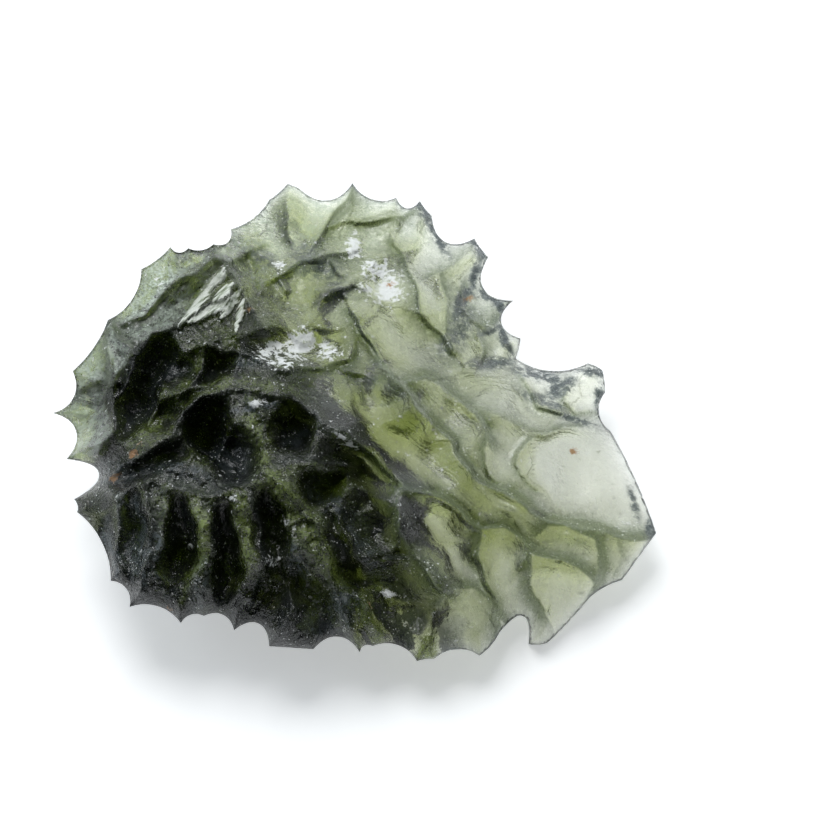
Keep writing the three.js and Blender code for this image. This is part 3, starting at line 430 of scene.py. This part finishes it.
def rim_loop(step):
    """Points round the rim: u, v, height."""
    loop = []
    for A, B, length, inward, sag, za, zb in bites():
        n = max(2, round(length / step))
        for t in np.arange(n) / n:
            p = A + (B - A) * t + inward * sag * (1 - abs(2 * t - 1) ** BITE_POWER)
            loop.append((p[0], p[1], za + (zb - za) * t))
    return np.array(loop)


RIM_HEIGHTS = rim_loop(RIM_SAMPLE)


# ---- fields over the sheet (arrays in, arrays out) ----
def wander(u, v):
    """The same points, moved a little by slow waves, so that no cup is a true ellipse."""
    return (u + 0.20 * np.sin(1.3 * v + 0.7 * u + 1.0) + 0.10 * np.sin(3.1 * v - 1.9 * u),
            v + 0.20 * np.sin(1.2 * u - 0.8 * v + 2.0) + 0.10 * np.sin(2.7 * u + 2.2 * v))


def weighted(u, v, points, soft, power):
    """Mean of the points' values, weighted by nearness."""
    total, weights = np.zeros_like(u), np.zeros_like(u)
    for x, y, z in points:
        w = 1 / ((u - x) ** 2 + (v - y) ** 2 + soft) ** power
        total += w * z
        weights += w
    return total / weights


def level(u, v, spots):
    """Values between spots that are given on the grid."""
    return weighted(u, v, [(across(x), up(y), z) for x, y, z in spots], *SPOT_MEAN)


def turned(du, dv, turn):
    """Coordinates along and across a direction, which is turn degrees from u."""
    c, s = math.cos(math.radians(turn)), math.sin(math.radians(turn))
    return du * c + dv * s, dv * c - du * s


def legs(u, v, line):
    """For each leg of a line: its start, its run, and how far off the points are, squared."""
    for (ax, ay), (bx, by) in zip(line, line[1:]):
        ex, ey = bx - ax, by - ay
        t = np.clip(((u - ax) * ex + (v - ay) * ey) / (ex * ex + ey * ey), 0, 1)
        yield ax, ay, ex, ey, (u - ax - t * ex) ** 2 + (v - ay - t * ey) ** 2


def line_distance(u, v, line):
    best = np.full_like(u, 1e9)
    for *_, d in legs(u, v, line):
        best = np.minimum(best, d)
    return np.sqrt(best)


def carve(u, v, cups):
    """Depth of the deepest cup, and the place inside that cup along and across it."""
    best = np.full_like(u, CUP_SPILL)
    along, over = np.zeros_like(u), np.zeros_like(u)
    for cu, cv, a, b, turn, depth, kx, ky in cups:
        x, y = turned(u - cu, v - cv, turn)
        x, y = x / a, y / b
        d = depth * (1 - x * x - y * y)
        d = np.where(d > 0, d * np.clip(1 + kx * x + ky * y, 0.1, 2), d)
        win = d > best
        best = np.where(win, d, best)
        along = np.where(win, x * a, along)
        over = np.where(win, y * b, over)
    return best, along, over


def flutes(side):
    """Cups that run inward from the bites of the rim."""
    out = []
    for A, B, length, inward, sag, _, _ in bites():
        if sag * GRID < FLUTE_SAG:
            continue
        reach = FLUTE_REACH[side]
        c = (A + B) / 2 + inward * (sag + reach * FLUTE_SHIFT)
        turn = math.degrees(math.atan2(inward[1], inward[0]))
        out.append((c[0], c[1], reach, FLUTE_WIDTH * length, turn, FLUTE_DEPTH[side], 0, 0))
    return out


def face_cups():
    """Middle, half length, half width, turn, depth and lean of each cup, in millimetres."""
    return [(float(across(x)), float(up(y)), a / GRID, b / GRID, turn, depth, kx, ky)
            for x, y, a, b, turn, depth, kx, ky in CUPS] + flutes(0)


def belly_cups():
    """The same for the belly, where no cup can be seen: an uneven field, always the same."""
    out = []
    for k in range(BELLY_CUPS):
        turn, r = k * GOLDEN_ANGLE, math.sqrt((k + 0.5) / BELLY_CUPS)
        a = 1.8 + 0.6 * math.sin(k * 1.7)
        b = a * (0.75 + 0.2 * math.sin(k * 2.9))
        x, y = BELLY_SPAN[0] * r * math.cos(turn), BELLY_MID + BELLY_SPAN[1] * r * math.sin(turn)
        out.append((x, y, a * 1.3, b * 1.2,
                    math.degrees(turn) + 35 * math.sin(k * 0.9), 1.0 + 0.35 * math.sin(k * 2.3),
                    0.3 * math.sin(k * 1.1), 0.3 * math.cos(k * 1.9)))
    return out + flutes(1)


def ramp(x, start, end):
    """0 at start, 1 at end, smooth between them."""
    t = np.clip((x - start) / (end - start), 0, 1)
    return t * t * (3 - 2 * t)


def between(pair, share):
    """From the first value of a pair to the second."""
    return pair[0] + (pair[1] - pair[0]) * share


def line_side(u, v, line):
    """Distance from a line, and +1 on the left of travel or -1 on the right."""
    best, side = np.full_like(u, 1e9), np.ones_like(u)
    for ax, ay, ex, ey, d in legs(u, v, line):
        near = d < best
        best = np.where(near, d, best)
        side = np.where(near, np.sign(ex * (v - ay) - ey * (u - ax)), side)
    return np.sqrt(best), side


def crest(u, v, fade):
    """Height that the crest lines add, share of the cups that they leave, shade painted beyond them."""
    add, keep, painted_shade = np.zeros_like(u), np.ones_like(u), np.zeros_like(u)
    for height, steep, gentle, *points in CRESTS:
        d, side = line_side(u, v, to_line(points))
        add = np.maximum(add, height * (1 - np.minimum(1, d / np.where(side > 0, steep, gentle))))
        keep = np.minimum(keep, 1 - CREST_HOLD * np.exp(-d / CREST_FADE))
        past = d * side
        shade = np.exp(-np.maximum(past, 0) / fade) * np.clip(past / CREST_TURN + 0.5, 0, 1)
        painted_shade = np.maximum(painted_shade, shade * min(1, height / FULL_CREST))
    return add, keep, painted_shade


def chance(i, j, k):
    """A number from 0 to 1 that belongs to a lattice point."""
    s = np.sin(i * 127.1 + j * 311.7 + k * 74.7) * 43758.5453
    return s - np.floor(s)


def scallops(u, v, body, size, stretch, turn, depth, extra, seed):
    """A field of small cups on a shaken lattice: depth, positive in a cup, negative on a crest."""
    x, y = turned(u, v, turn)
    x, y = x / (size * stretch), y / size
    i0, j0 = np.floor(x), np.floor(y)
    best = np.full_like(u, -9.0)
    for di in (-1, 0, 1):
        for dj in (-1, 0, 1):
            i, j = i0 + di, j0 + dj
            cx = i + 0.5 + SHAKE * (chance(i, j, seed) - 0.5)
            cy = j + 0.5 + SHAKE * (chance(i, j, seed + 1) - 0.5)
            rank = RANK * chance(i, j, seed + 2)
            best = np.maximum(best, rank - ((x - cx) ** 2 + (y - cy) ** 2) / SPREAD)
    return (depth + extra * body) * best


def blot(u, v, spots):
    """Soft elliptical spots, each with its strength in the middle."""
    out = np.zeros_like(u)
    for x, y, a, b, turn, strength in spots:
        du, dv = turned((u - across(x)) * GRID, (v - up(y)) * GRID, turn)
        q = (du / a) ** 2 + (dv / b) ** 2
        out = np.maximum(out, strength * np.exp(-SPOT_FALL * q))
    return out


def ridges(u, v, table, scale=1):
    """Soft bands along lines: each row is a strength, a half width and the line's points."""
    out = np.zeros_like(u)
    for strength, width, *points in table:
        d = line_distance(u, v, to_line(points)) * scale
        out = np.maximum(out, strength * np.exp(-(d / width) ** 2))
    return out


def blade_field(u, v):
    """Shards that swell in the middle and taper to both ends."""
    out = np.zeros_like(u)
    for ax, ay, bx, by, w in BLADES:
        line = to_line([(ax, ay), (bx, by)])
        (x0, y0), (x1, y1) = line
        ex, ey = x1 - x0, y1 - y0
        t = np.clip(((u - x0) * ex + (v - y0) * ey) / (ex * ex + ey * ey), 0, 1)
        width = w / GRID * (BLADE_ENDS + BLADE_SWELL * np.sin(np.pi * np.clip(t, 0.05, 0.95)))
        out = np.maximum(out, np.clip(BLADE_TOP - line_distance(u, v, line) / width, 0, 1))
    return out


def fine_etching(u, v, wu, wv, body):
    """The two finest levels of scallops, on the face and on the belly."""
    patch = 0.5 + 0.5 * np.sin(0.9 * u + 1.7) * np.sin(1.1 * v + 0.4 * u)
    rough = np.maximum(body, 0.12 + 0.30 * ramp(v, 2.0, 6.0)) * (0.4 + 0.6 * patch)
    fine = scallops(wu, wv, body, *FACE_MIDDLE) * rough
    fine += scallops(wu + 0.1 * np.sin(7 * wv), wv, body, *FACE_SMALL) * rough
    belly_fine = (scallops(wu, wv, body, *BELLY_MIDDLE) * 0.6
                  + scallops(wu, wv, body, *BELLY_SMALL)) * (0.3 + 0.7 * body)
    return fine, belly_fine


def feet(u, v):
    """How far the bosses that carry the stone reach down."""
    drop = np.zeros_like(u)
    for gx, gy, radius, deep in FEET:
        q = ((u - across(gx)) ** 2 + (v - up(gy)) ** 2) / radius ** 2
        drop = np.maximum(drop, deep * np.exp(-q * q))
    return drop


def skin_shades(u, v, painted_shade, hole, fine, channel):
    """Which part is in the dark half, and the shares of the light that painted shade and haze with
    painted olive glow stop.
    """
    frost_and_glow = level(u, v, FROST)
    dark = ramp(u + 0.6 * v, *DARK_BAND) * (1 - ramp(frost_and_glow, *DARK_FROST))
    rib = ridges(u, v, RIBS, GRID) * dark
    low = dark * ramp(v, *LOW_BAND) * ramp(u, *LOW_LEFT)
    # painted shade in the pits and above the lower rim, added to the shade painted beyond crests
    most = PIT_SHADE - PIT_LOWER * ramp(v, *PIT_BAND)
    pit = dark * np.clip((hole - PIT_START + PIT_FINE * fine) / PIT_START, 0, most)
    painted_shade = painted_shade * (WALL_LIGHT + WALL_DARK * dark)
    painted_shade = np.maximum(painted_shade, np.maximum(pit, LOW_SHADE * low)) * (1 - RIB_CLEAR * rib)
    hollow = np.clip(hole / DEEP, 0, 1)
    # olive glow painted on the ridges and over the belly's channels, in the dark half
    olive = dark * (1 - low) * (RIDGE_GLOW * (1 - hollow) ** 2 + CHANNEL_GLOW * channel)
    frost_and_glow = np.maximum(frost_and_glow * (1 - dark * hollow), olive)
    return dark, painted_shade, np.maximum(frost_and_glow, RIB_GLOW * rib)


def skins(u, v, inside):
    """Heights of face and belly, and the fields that the material uses; inside is the distance
    from the rim."""
    middle = weighted(u, v, RIM_HEIGHTS, *RIM_MEAN)
    wu, wv = wander(u, v)
    body = ramp(u + 0.35 * v, *BODY_BAND)
    add, keep, painted_shade = crest((wu + u) / 2, (wv + v) / 2, between(WALL_FADE, body))
    cut, along, over = carve(wu, wv, face_cups())
    bcut, balong, bover = carve(wu + 0.3, wv - 0.2, belly_cups())
    fine, belly_fine = fine_etching(u, v, wu, wv, body)
    crust, blades = blot(u, v, CRUST), blade_field(u, v)
    channel = ridges(u, v, CHANNELS)
    top = level(u, v, FACE_LEVEL) - middle
    add = add * (1 - CREST_CUT * body)
    rise = top - cut * keep - fine + add + (CRUST_LUMP * crust + BLADE_LUMP * blades)
    # the belly follows most of the relief, so that a cup doesn't eat through thin glass
    follow = between(FOLLOW, body) * (cut * keep - add)
    thin = level(u, v, THICKNESS)
    fall = (thin - top + follow - BELLY_RELIEF * ramp(thin, *BELLY_THIN) * bcut
            - belly_fine * ramp(thin, *FINE_THIN) - channel + feet(u, v))
    rise = rise * (1 - np.exp(-inside / EDGE_FACE))
    fall = fall * (1 - np.exp(-inside / EDGE_BELLY))
    thick, least = rise + fall, LEAST * (1 - np.exp(-inside / LEAST_EDGE))
    part = (least + LEAST_SOFT * np.logaddexp(0, (thick - least) / LEAST_SOFT) - thick) / 2
    face, belly = middle + rise + part, np.maximum(0, middle - fall - part)

    dark, painted_shade, frost_and_glow = skin_shades(u, v, painted_shade, cut * keep, fine, channel)
    # dark line along the rim, smoky streaks, and painted grey sheen in the body
    rim_smoke = RIM_SMOKE * np.exp(-(inside / RIM_SMOKE_WIDTH) ** 2)
    smoke_and_sheen = np.maximum(rim_smoke, blot(u, v, SMOKE_AND_SHEEN))
    none = np.zeros_like(u)
    on_face = dict(along=along, over=over, gloss=GLOSS - GLOSS_DARK * dark, crust=crust,
                   blade=blades, stain=blot(u, v, STAIN), painted_shade=painted_shade, smoke_and_sheen=smoke_and_sheen, frost_and_glow=frost_and_glow)
    on_belly = dict(along=balong, over=bover, gloss=BELLY_GLOSS - BELLY_GLOSS_BODY * body,
                    crust=none, blade=none, stain=none, painted_shade=none, smoke_and_sheen=smoke_and_sheen, frost_and_glow=0.5 * frost_and_glow)
    return (face, on_face), (belly, on_belly)


# ---- mesh ----
def inside_loop(u, v, loop):
    """True for the points inside a closed loop."""
    odd = np.zeros(u.shape, bool)
    for (ax, ay), (bx, by) in zip(loop, np.roll(loop, -1, axis=0)):
        if ay == by:
            continue
        odd ^= ((ay > v) != (by > v)) & (u < (bx - ax) * (v - ay) / (by - ay) + ax)
    return odd


def sheet(loop, cell):
    """Inner points of one skin, their distance from the rim, and triangles that count the rim loop's
    points first."""
    low, high = loop.min(0), loop.max(0)
    rise = cell * math.sin(math.radians(60))
    j, i = np.meshgrid(np.arange(int((high[1] - low[1]) / rise) + 1),
                       np.arange(int((high[0] - low[0]) / cell) + 1), indexing="ij")
    u = (low[0] + (i + 0.5 * (j % 2)) * cell).ravel()
    v = (low[1] + j * rise).ravel()
    keep = inside_loop(u, v, loop)
    u, v = u[keep], v[keep]
    closed = [tuple(p) for p in loop] + [tuple(loop[0])]
    edge = line_distance(u, v, closed)
    keep = edge > 0.5 * cell
    u, v, edge = u[keep], v[keep], edge[keep]
    n = len(loop)
    while True:
        points = np.vstack([loop, np.stack([u, v], 1)])
        links = [(k, (k + 1) % n) for k in range(n)]
        _, _, faces, origin, _, _ = delaunay_2d_cdt([Vector(p) for p in points], links, [], 1, 1e-7)
        faces = np.array([o[0] for o in origin])[np.array(faces)]
        # an edge from rim to rim would pinch the glass to nothing: it gets a point in its middle
        pairs = np.vstack([faces[:, [0, 1]], faces[:, [1, 2]], faces[:, [2, 0]]])
        pairs = pairs[(pairs < n).all(1)]
        step = (pairs[:, 1] - pairs[:, 0]) % n
        pairs = np.unique(np.sort(pairs[(step != 1) & (step != n - 1)], axis=1), axis=0)
        if not len(pairs):
            return u, v, edge, faces
        mid = (points[pairs[:, 0]] + points[pairs[:, 1]]) / 2
        u, v = np.append(u, mid[:, 0]), np.append(v, mid[:, 1])
        edge = np.append(edge, line_distance(mid[:, 0], mid[:, 1], closed))


ATTRIBUTES = {      # vector attributes of the mesh, three fields in each
    "etch": ("along", "over", "gloss"),
    "dirt": ("crust", "blade", "stain"),
    # painted shade; smoke with painted grey sheen; haze with painted olive glow
    "shade_sheen_frost": ("painted_shade", "smoke_and_sheen", "frost_and_glow"),
}


def build_stone():
    """The closed mesh of the stone, with the fields that its material reads."""
    rim = rim_loop(RIM_STEP)
    loop, n = rim[:, :2], len(rim)
    verts, tris = [place(rim[:, 0], rim[:, 1], rim[:, 2])], []
    names = [name for group in ATTRIBUTES.values() for name in group]
    stored = {k: [np.full(n, RIM_SMOKE if k == "smoke_and_sheen" else 0.0)] for k in names}
    start = n
    for side, cell in ((0, CELL_FACE), (1, CELL_BELLY)):
        u, v, edge, faces = sheet(loop, cell)
        height, fields = skins(u, v, edge)[side]
        verts.append(place(u, v, height))
        for k in names:
            stored[k].append(fields[k])
        index = np.where(faces < n, faces, faces - n + start)
        tris.append(index if side == 0 else index[:, ::-1])
        start += len(u)
    verts, tris = np.vstack(verts), np.vstack(tris)
    me = bpy.data.meshes.new("moldavite_glass")
    me.vertices.add(len(verts))
    me.vertices.foreach_set("co", verts.astype(np.float32).ravel())
    me.loops.add(len(tris) * 3)
    me.loops.foreach_set("vertex_index", tris.astype(np.int32).ravel())
    me.polygons.add(len(tris))
    me.polygons.foreach_set("loop_start", np.arange(0, len(tris) * 3, 3, dtype=np.int32))
    me.update(calc_edges=True)
    me.validate()
    me.shade_smooth()
    # the rim is a knife edge: its normals don't run round from face to belly
    ends = np.zeros(len(me.edges) * 2, np.int32)
    me.edges.foreach_get("vertices", ends)
    sharp = me.attributes.new("sharp_edge", "BOOLEAN", "EDGE")
    sharp.data.foreach_set("value", (ends.reshape(-1, 2) < n).all(1))
    for name, group in ATTRIBUTES.items():
        vector = me.attributes.new(name, "FLOAT_VECTOR", "POINT")
        columns = np.stack([np.concatenate(stored[k]) for k in group], 1)
        vector.data.foreach_set("vector", columns.astype(np.float32).ravel())
    ob = bpy.data.objects.new("moldavite_glass", me)
    bpy.context.scene.collection.objects.link(ob)
    print("stone:", len(verts), "vertices,", len(tris), "triangles")
    return ob


# ---- material ----
class Nodes:
    """Short calls for building a node tree."""

    def __init__(self, material):
        material.use_nodes = True
        self.tree = material.node_tree
        self.out = self.tree.nodes["Material Output"]
        self.shader = self.tree.nodes["Principled BSDF"]

    def new(self, kind, values=None, **settings):
        node = self.tree.nodes.new("ShaderNode" + kind)
        for k, v in settings.items():
            setattr(node, k, v)
        for k, v in (values or {}).items():
            self.put(node.inputs[k], v)
        return node

    def put(self, socket, value):
        if isinstance(value, bpy.types.NodeSocket):
            self.tree.links.new(value, socket)
        else:
            socket.default_value = value

    def math(self, operation, a, b=0.0, c=0.0):
        return self.new("Math", {0: a, 1: b, 2: c}, operation=operation).outputs[0]

    def spread(self, value, low, high, to_low=0.0, to_high=1.0):
        """A smooth step from one value to another, either way up."""
        return self.new("MapRange", {0: value, 1: low, 2: high, 3: to_low, 4: to_high},
                        interpolation_type="SMOOTHSTEP").outputs[0]

    def fields(self, attribute):
        """The three fields of one of the mesh's attributes."""
        vector = self.new("Attribute", attribute_name=attribute).outputs["Vector"]
        return self.new("SeparateXYZ", {0: vector}).outputs

    def mix(self, factor, a, b):
        return self.new("Mix", {0: factor, 6: a, 7: b}, data_type="RGBA").outputs[2]

    def noise(self, where, scale, detail=2.0, rough=0.5):
        return self.new("TexNoise", {"Vector": where, "Scale": scale, "Detail": detail,
                                     "Roughness": rough}).outputs["Fac"]


def skin_bump(n, along, over, satin, coarse, medium, grain, glint):
    """Height of pores and striations in millimetres; striations run along each cup and bow a little."""
    bend = n.math("ADD", n.math("MULTIPLY", n.math("MULTIPLY", along, along), 0.07),
                  n.math("MULTIPLY", medium, 0.35))
    phase = n.math("MULTIPLY", n.math("ADD", over, bend), 2 * math.pi / STRIA_PITCH)
    wave = n.math("MULTIPLY", n.math("SINE", phase), 0.5)
    finer = n.math("SINE", n.math("MULTIPLY", phase, 2.3))
    wave = n.math("ADD", wave, n.math("MULTIPLY", finer, 0.25))
    striped = n.spread(coarse, 0.42, 0.60)
    stria = n.math("MULTIPLY", wave, n.math("MULTIPLY_ADD", striped, 0.8, 0.2))

    height = n.math("MULTIPLY", grain, GRAIN_HEIGHT)
    height = n.math("MULTIPLY_ADD", medium, MEDIUM_HEIGHT, height)
    height = n.math("MULTIPLY_ADD", glint, GLINT_HEIGHT, height)
    height = n.math("MULTIPLY", height, n.spread(satin, 0.42, 0.14, 0.12, 1.0))
    return n.math("MULTIPLY_ADD", stria, n.spread(satin, 0.42, 0.25, 0.0, STRIA_HEIGHT), height)


def glass_material():
    """See-through green glass whose skin carries haze, smoke and dirt, with painted shade, grey sheen,
    glints and olive glow.
    """
    mat = bpy.data.materials.new("moldavite_glass")
    n = Nodes(mat)
    shader = n.shader
    obj = n.new("TexCoord").outputs["Object"]
    mm = n.new("VectorMath", {0: obj, 3: 1000.0}, operation="SCALE").outputs[0]
    along, over, satin = n.fields("etch")
    crust, blade, stain = n.fields("dirt")
    painted_shade, smoke_and_sheen, frost_and_glow = n.fields("shade_sheen_frost")

    noises = (COARSE, MEDIUM, GRAIN, SHREDS, GLINT)
    coarse, medium, grain, shreds, glint = [n.noise(mm, *kind) for kind in noises]

    # where dirt lies, broken up at two scales; painted glints as fine white dots
    broken = n.math("MULTIPLY_ADD", shreds, 2.6, -1.35)
    broken = n.math("MULTIPLY_ADD", n.math("SUBTRACT", grain, 0.5), 0.9, broken)
    white = n.spread(n.math("ADD", crust, broken), 0.30, 0.62)
    glint_dots = n.new("TexVoronoi", {"Vector": mm, "Scale": GLINT_DOT_SCALE}).outputs["Distance"]
    glint_dots = n.math("MULTIPLY", n.spread(glint_dots, 0.16, 0.09), n.spread(shreds, 0.42, 0.52))
    white = n.math("MAXIMUM", white, glint_dots)
    turned = n.new("VectorRotate", {"Vector": mm, "Angle": BLADE_TURN}, rotation_type="Z_AXIS")
    drawn = n.new("VectorMath", {0: turned.outputs[0], 1: BLADE_FIBRE}, operation="MULTIPLY")
    fibre = n.noise(drawn.outputs[0], *FIBRE)
    cream = n.spread(n.math("ADD", blade, n.math("MULTIPLY_ADD", fibre, 2.2, -1.25)), 0.20, 0.75)
    rusty = n.spread(n.math("MULTIPLY_ADD", broken, 0.6, stain), 0.32, 0.75)
    solid = n.math("MAXIMUM", n.math("MULTIPLY", white, CHALK_GLINT_SOLID),
                   n.math("MULTIPLY", cream, BLADE_SOLID))
    solid = n.math("MAXIMUM", solid, n.math("MULTIPLY", rusty, RUST_SOLID))

    # haze with painted olive glow, painted shade, and smoke with painted grey sheen: part of the light
    # stops at the skin, in patches and specks
    blotch = n.math("MULTIPLY", n.spread(grain, *HAZE_SPECK), n.spread(medium, *HAZE_PATCH))
    haze_and_glow = n.math("MULTIPLY", frost_and_glow, blotch)
    light = n.spread(satin, 0.18, 0.30)     # 0 in the dark half, 1 in the light half
    blotch = n.math("MULTIPLY", n.spread(grain, *SHADE_SPECK), n.spread(medium, *SHADE_PATCH))
    smoother = n.math("MULTIPLY_ADD", n.math("SUBTRACT", 0.75, blotch),
                      n.math("MULTIPLY", light, 0.65), blotch)
    shade = n.math("MULTIPLY", painted_shade, smoother)
    wisp = n.math("MULTIPLY", n.spread(medium, *SMOKE_PATCH), n.spread(grain, *SMOKE_SPECK))
    smoke_sheen_patches = n.math("MULTIPLY", smoke_and_sheen, wisp)

    # the colour of the stopped light takes over early, so that no film looks milky
    early = n.math("MULTIPLY", haze_and_glow, n.math("MULTIPLY_ADD", light, -7.0, 11.0))
    colour = n.mix(n.math("MINIMUM", early, 1.0), CLEAR, n.mix(light, *HAZE_GLOW_COLOUR))
    both = n.math("MAXIMUM", n.math("MULTIPLY_ADD", haze_and_glow, 0.35, shade), 0.05)
    share = n.math("DIVIDE", shade, both)
    faint = n.math("MINIMUM", n.math("MULTIPLY", shade, 3.0), 1.0)
    share = n.math("MULTIPLY_ADD", n.math("SUBTRACT", faint, share), light, share)
    colour = n.mix(share, colour, n.mix(light, *SHADE_COLOUR))
    colour = n.mix(n.math("MINIMUM", n.math("MULTIPLY", smoke_sheen_patches, 5.0), 1.0), colour, SMOKE_SHEEN_COLOUR)
    colour = n.mix(white, colour, CHALK_GLINT_COLOUR)
    colour = n.mix(cream, colour, n.mix(n.spread(fibre, 0.35, 0.60), *BLADE_COLOUR))
    colour = n.mix(rusty, colour, RUST_COLOUR)
    n.put(shader.inputs["Base Color"], colour)
    # the painted shade and the painted sheen stop light as a film
    shade_smoke_sheen = n.math("MAXIMUM", shade, n.math("MULTIPLY", smoke_sheen_patches, 0.85))
    stop = n.math("MAXIMUM", n.math("MAXIMUM", solid, haze_and_glow), n.math("MULTIPLY", shade_smoke_sheen, 0.85))
    n.put(shader.inputs["Transmission Weight"], n.math("SUBTRACT", 1.0, stop))

    # satin etch, glossier in the thick body
    rough = n.math("MULTIPLY_ADD", satin, 0.50, 0.03)
    rough = n.math("MULTIPLY_ADD", n.spread(medium, 0.40, 0.65), 0.08, rough)
    rough = n.math("MULTIPLY_ADD", n.math("MAXIMUM", solid, haze_and_glow), 0.4, rough)
    n.put(shader.inputs["Roughness"], rough)
    shader.inputs["IOR"].default_value = IOR
    height = skin_bump(n, along, over, satin, coarse, medium, grain, glint)
    bump = n.new("Bump", {"Strength": 1.0, "Distance": 0.001, "Height": height})
    n.put(shader.inputs["Normal"], bump.outputs[0])

    density = 1000 * max(ABSORB) * 1.2
    absorb = n.new("VolumeAbsorption")
    absorb.inputs["Density"].default_value = density
    absorb.inputs["Color"].default_value = tuple(1 - 1000 * k / density for k in ABSORB) + (1,)
    n.tree.links.new(absorb.outputs[0], n.out.inputs["Volume"])
    return mat


# ---- the piece ----
stone = build_stone()
stone.data.materials.append(glass_material())
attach(stone, "root")
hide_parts("moldavite")

# ---- floor and light ----
scene = bpy.context.scene
floor_mesh = bpy.data.meshes.new("floor")
corners = [(x * FLOOR_HALF, y * FLOOR_HALF, 0) for x, y in ((-1, -1), (1, -1), (1, 1), (-1, 1))]
floor_mesh.from_pydata(corners, [], [(0, 1, 2, 3)])
floor = bpy.data.objects.new("floor", floor_mesh)
scene.collection.objects.link(floor)
floor_material = bpy.data.materials.new("floor")
paper = Nodes(floor_material).shader.inputs
paper["Base Color"].default_value = FLOOR_COLOUR
paper["Roughness"].default_value = FLOOR_ROUGHNESS
paper["Emission Color"].default_value = FLOOR_GLOW
paper["Emission Strength"].default_value = FLOOR_GLOW_STRENGTH
floor_mesh.materials.append(floor_material)


def softbox(name, at, size, power, colour):
    """A round soft light that faces the stone."""
    lamp = bpy.data.lights.new(name, "AREA")
    lamp.shape = "DISK"
    lamp.size, lamp.energy, lamp.color = size, power, colour
    ob = bpy.data.objects.new(name, lamp)
    scene.collection.objects.link(ob)
    ob.location = at
    ob.rotation_mode = "QUATERNION"
    ob.rotation_quaternion = (-Vector(at)).to_track_quat("-Z", "Y")


for lamp in LAMPS:
    softbox(*lamp)

# a pale tent all round, brightest above and behind, with a dark opening where the lens looks in
world = bpy.data.worlds.new("studio")
world.use_nodes = True
scene.world = world
sky_tree = world.node_tree


def sky(kind, operation, *values):
    """A world node with its inputs set or linked, in order."""
    node = sky_tree.nodes.new("ShaderNode" + kind)
    if operation:
        node.operation = operation
    for socket, value in zip(node.inputs, values):
        if isinstance(value, bpy.types.NodeSocket):
            sky_tree.links.new(value, socket)
        else:
            socket.default_value = value
    return node


along_ray = sky_tree.nodes.new("ShaderNodeTexCoord").outputs["Generated"]
behind = sky("VectorMath", "DOT_PRODUCT", along_ray, TENT_BRIGHTEST).outputs["Value"]
tent = sky("MapRange", "", behind, *TENT_RANGE).outputs[0]
front = (0, -math.cos(LEAN), math.sin(LEAN))
facing = sky("VectorMath", "DOT_PRODUCT", along_ray, front).outputs["Value"]
opening = sky("MapRange", "", facing, *OPENING_RANGE).outputs[0]
tent_light = sky("Math", "MULTIPLY", tent, opening).outputs[0]
background = sky_tree.nodes["Background"].inputs
sky_tree.links.new(tent_light, background["Strength"])
background["Color"].default_value = TENT_COLOUR

# ---- camera: the photograph's frame and elevation, through a long lens ----
cam = bpy.data.cameras.new("camera")
cam.lens, cam.sensor_width = LENS, SENSOR
cam.clip_start, cam.clip_end = 0.01, 20
eye = bpy.data.objects.new("camera", cam)
scene.collection.objects.link(eye)
toward = Vector(front)
upward = Vector((0, math.sin(LEAN), math.cos(LEAN)))
mid_u, mid_v = float(across(FRAME_PX / 2)) / 1000, float(up(FRAME_PX / 2)) / 1000
centre = Vector((mid_u, 0, 0)) + upward * mid_v
centre -= Vector((CENTRE[0], CENTRE[1], 0)) / 1000
centre += toward * AIM_LIFT
eye.location = centre + toward * (FRAME_PX / GRID / 1000 / SENSOR * LENS)
eye.rotation_euler = (math.radians(90) - LEAN, 0, 0)
scene.camera = eye

scene.view_settings.view_transform = "Standard"
scene.view_settings.look = "None"
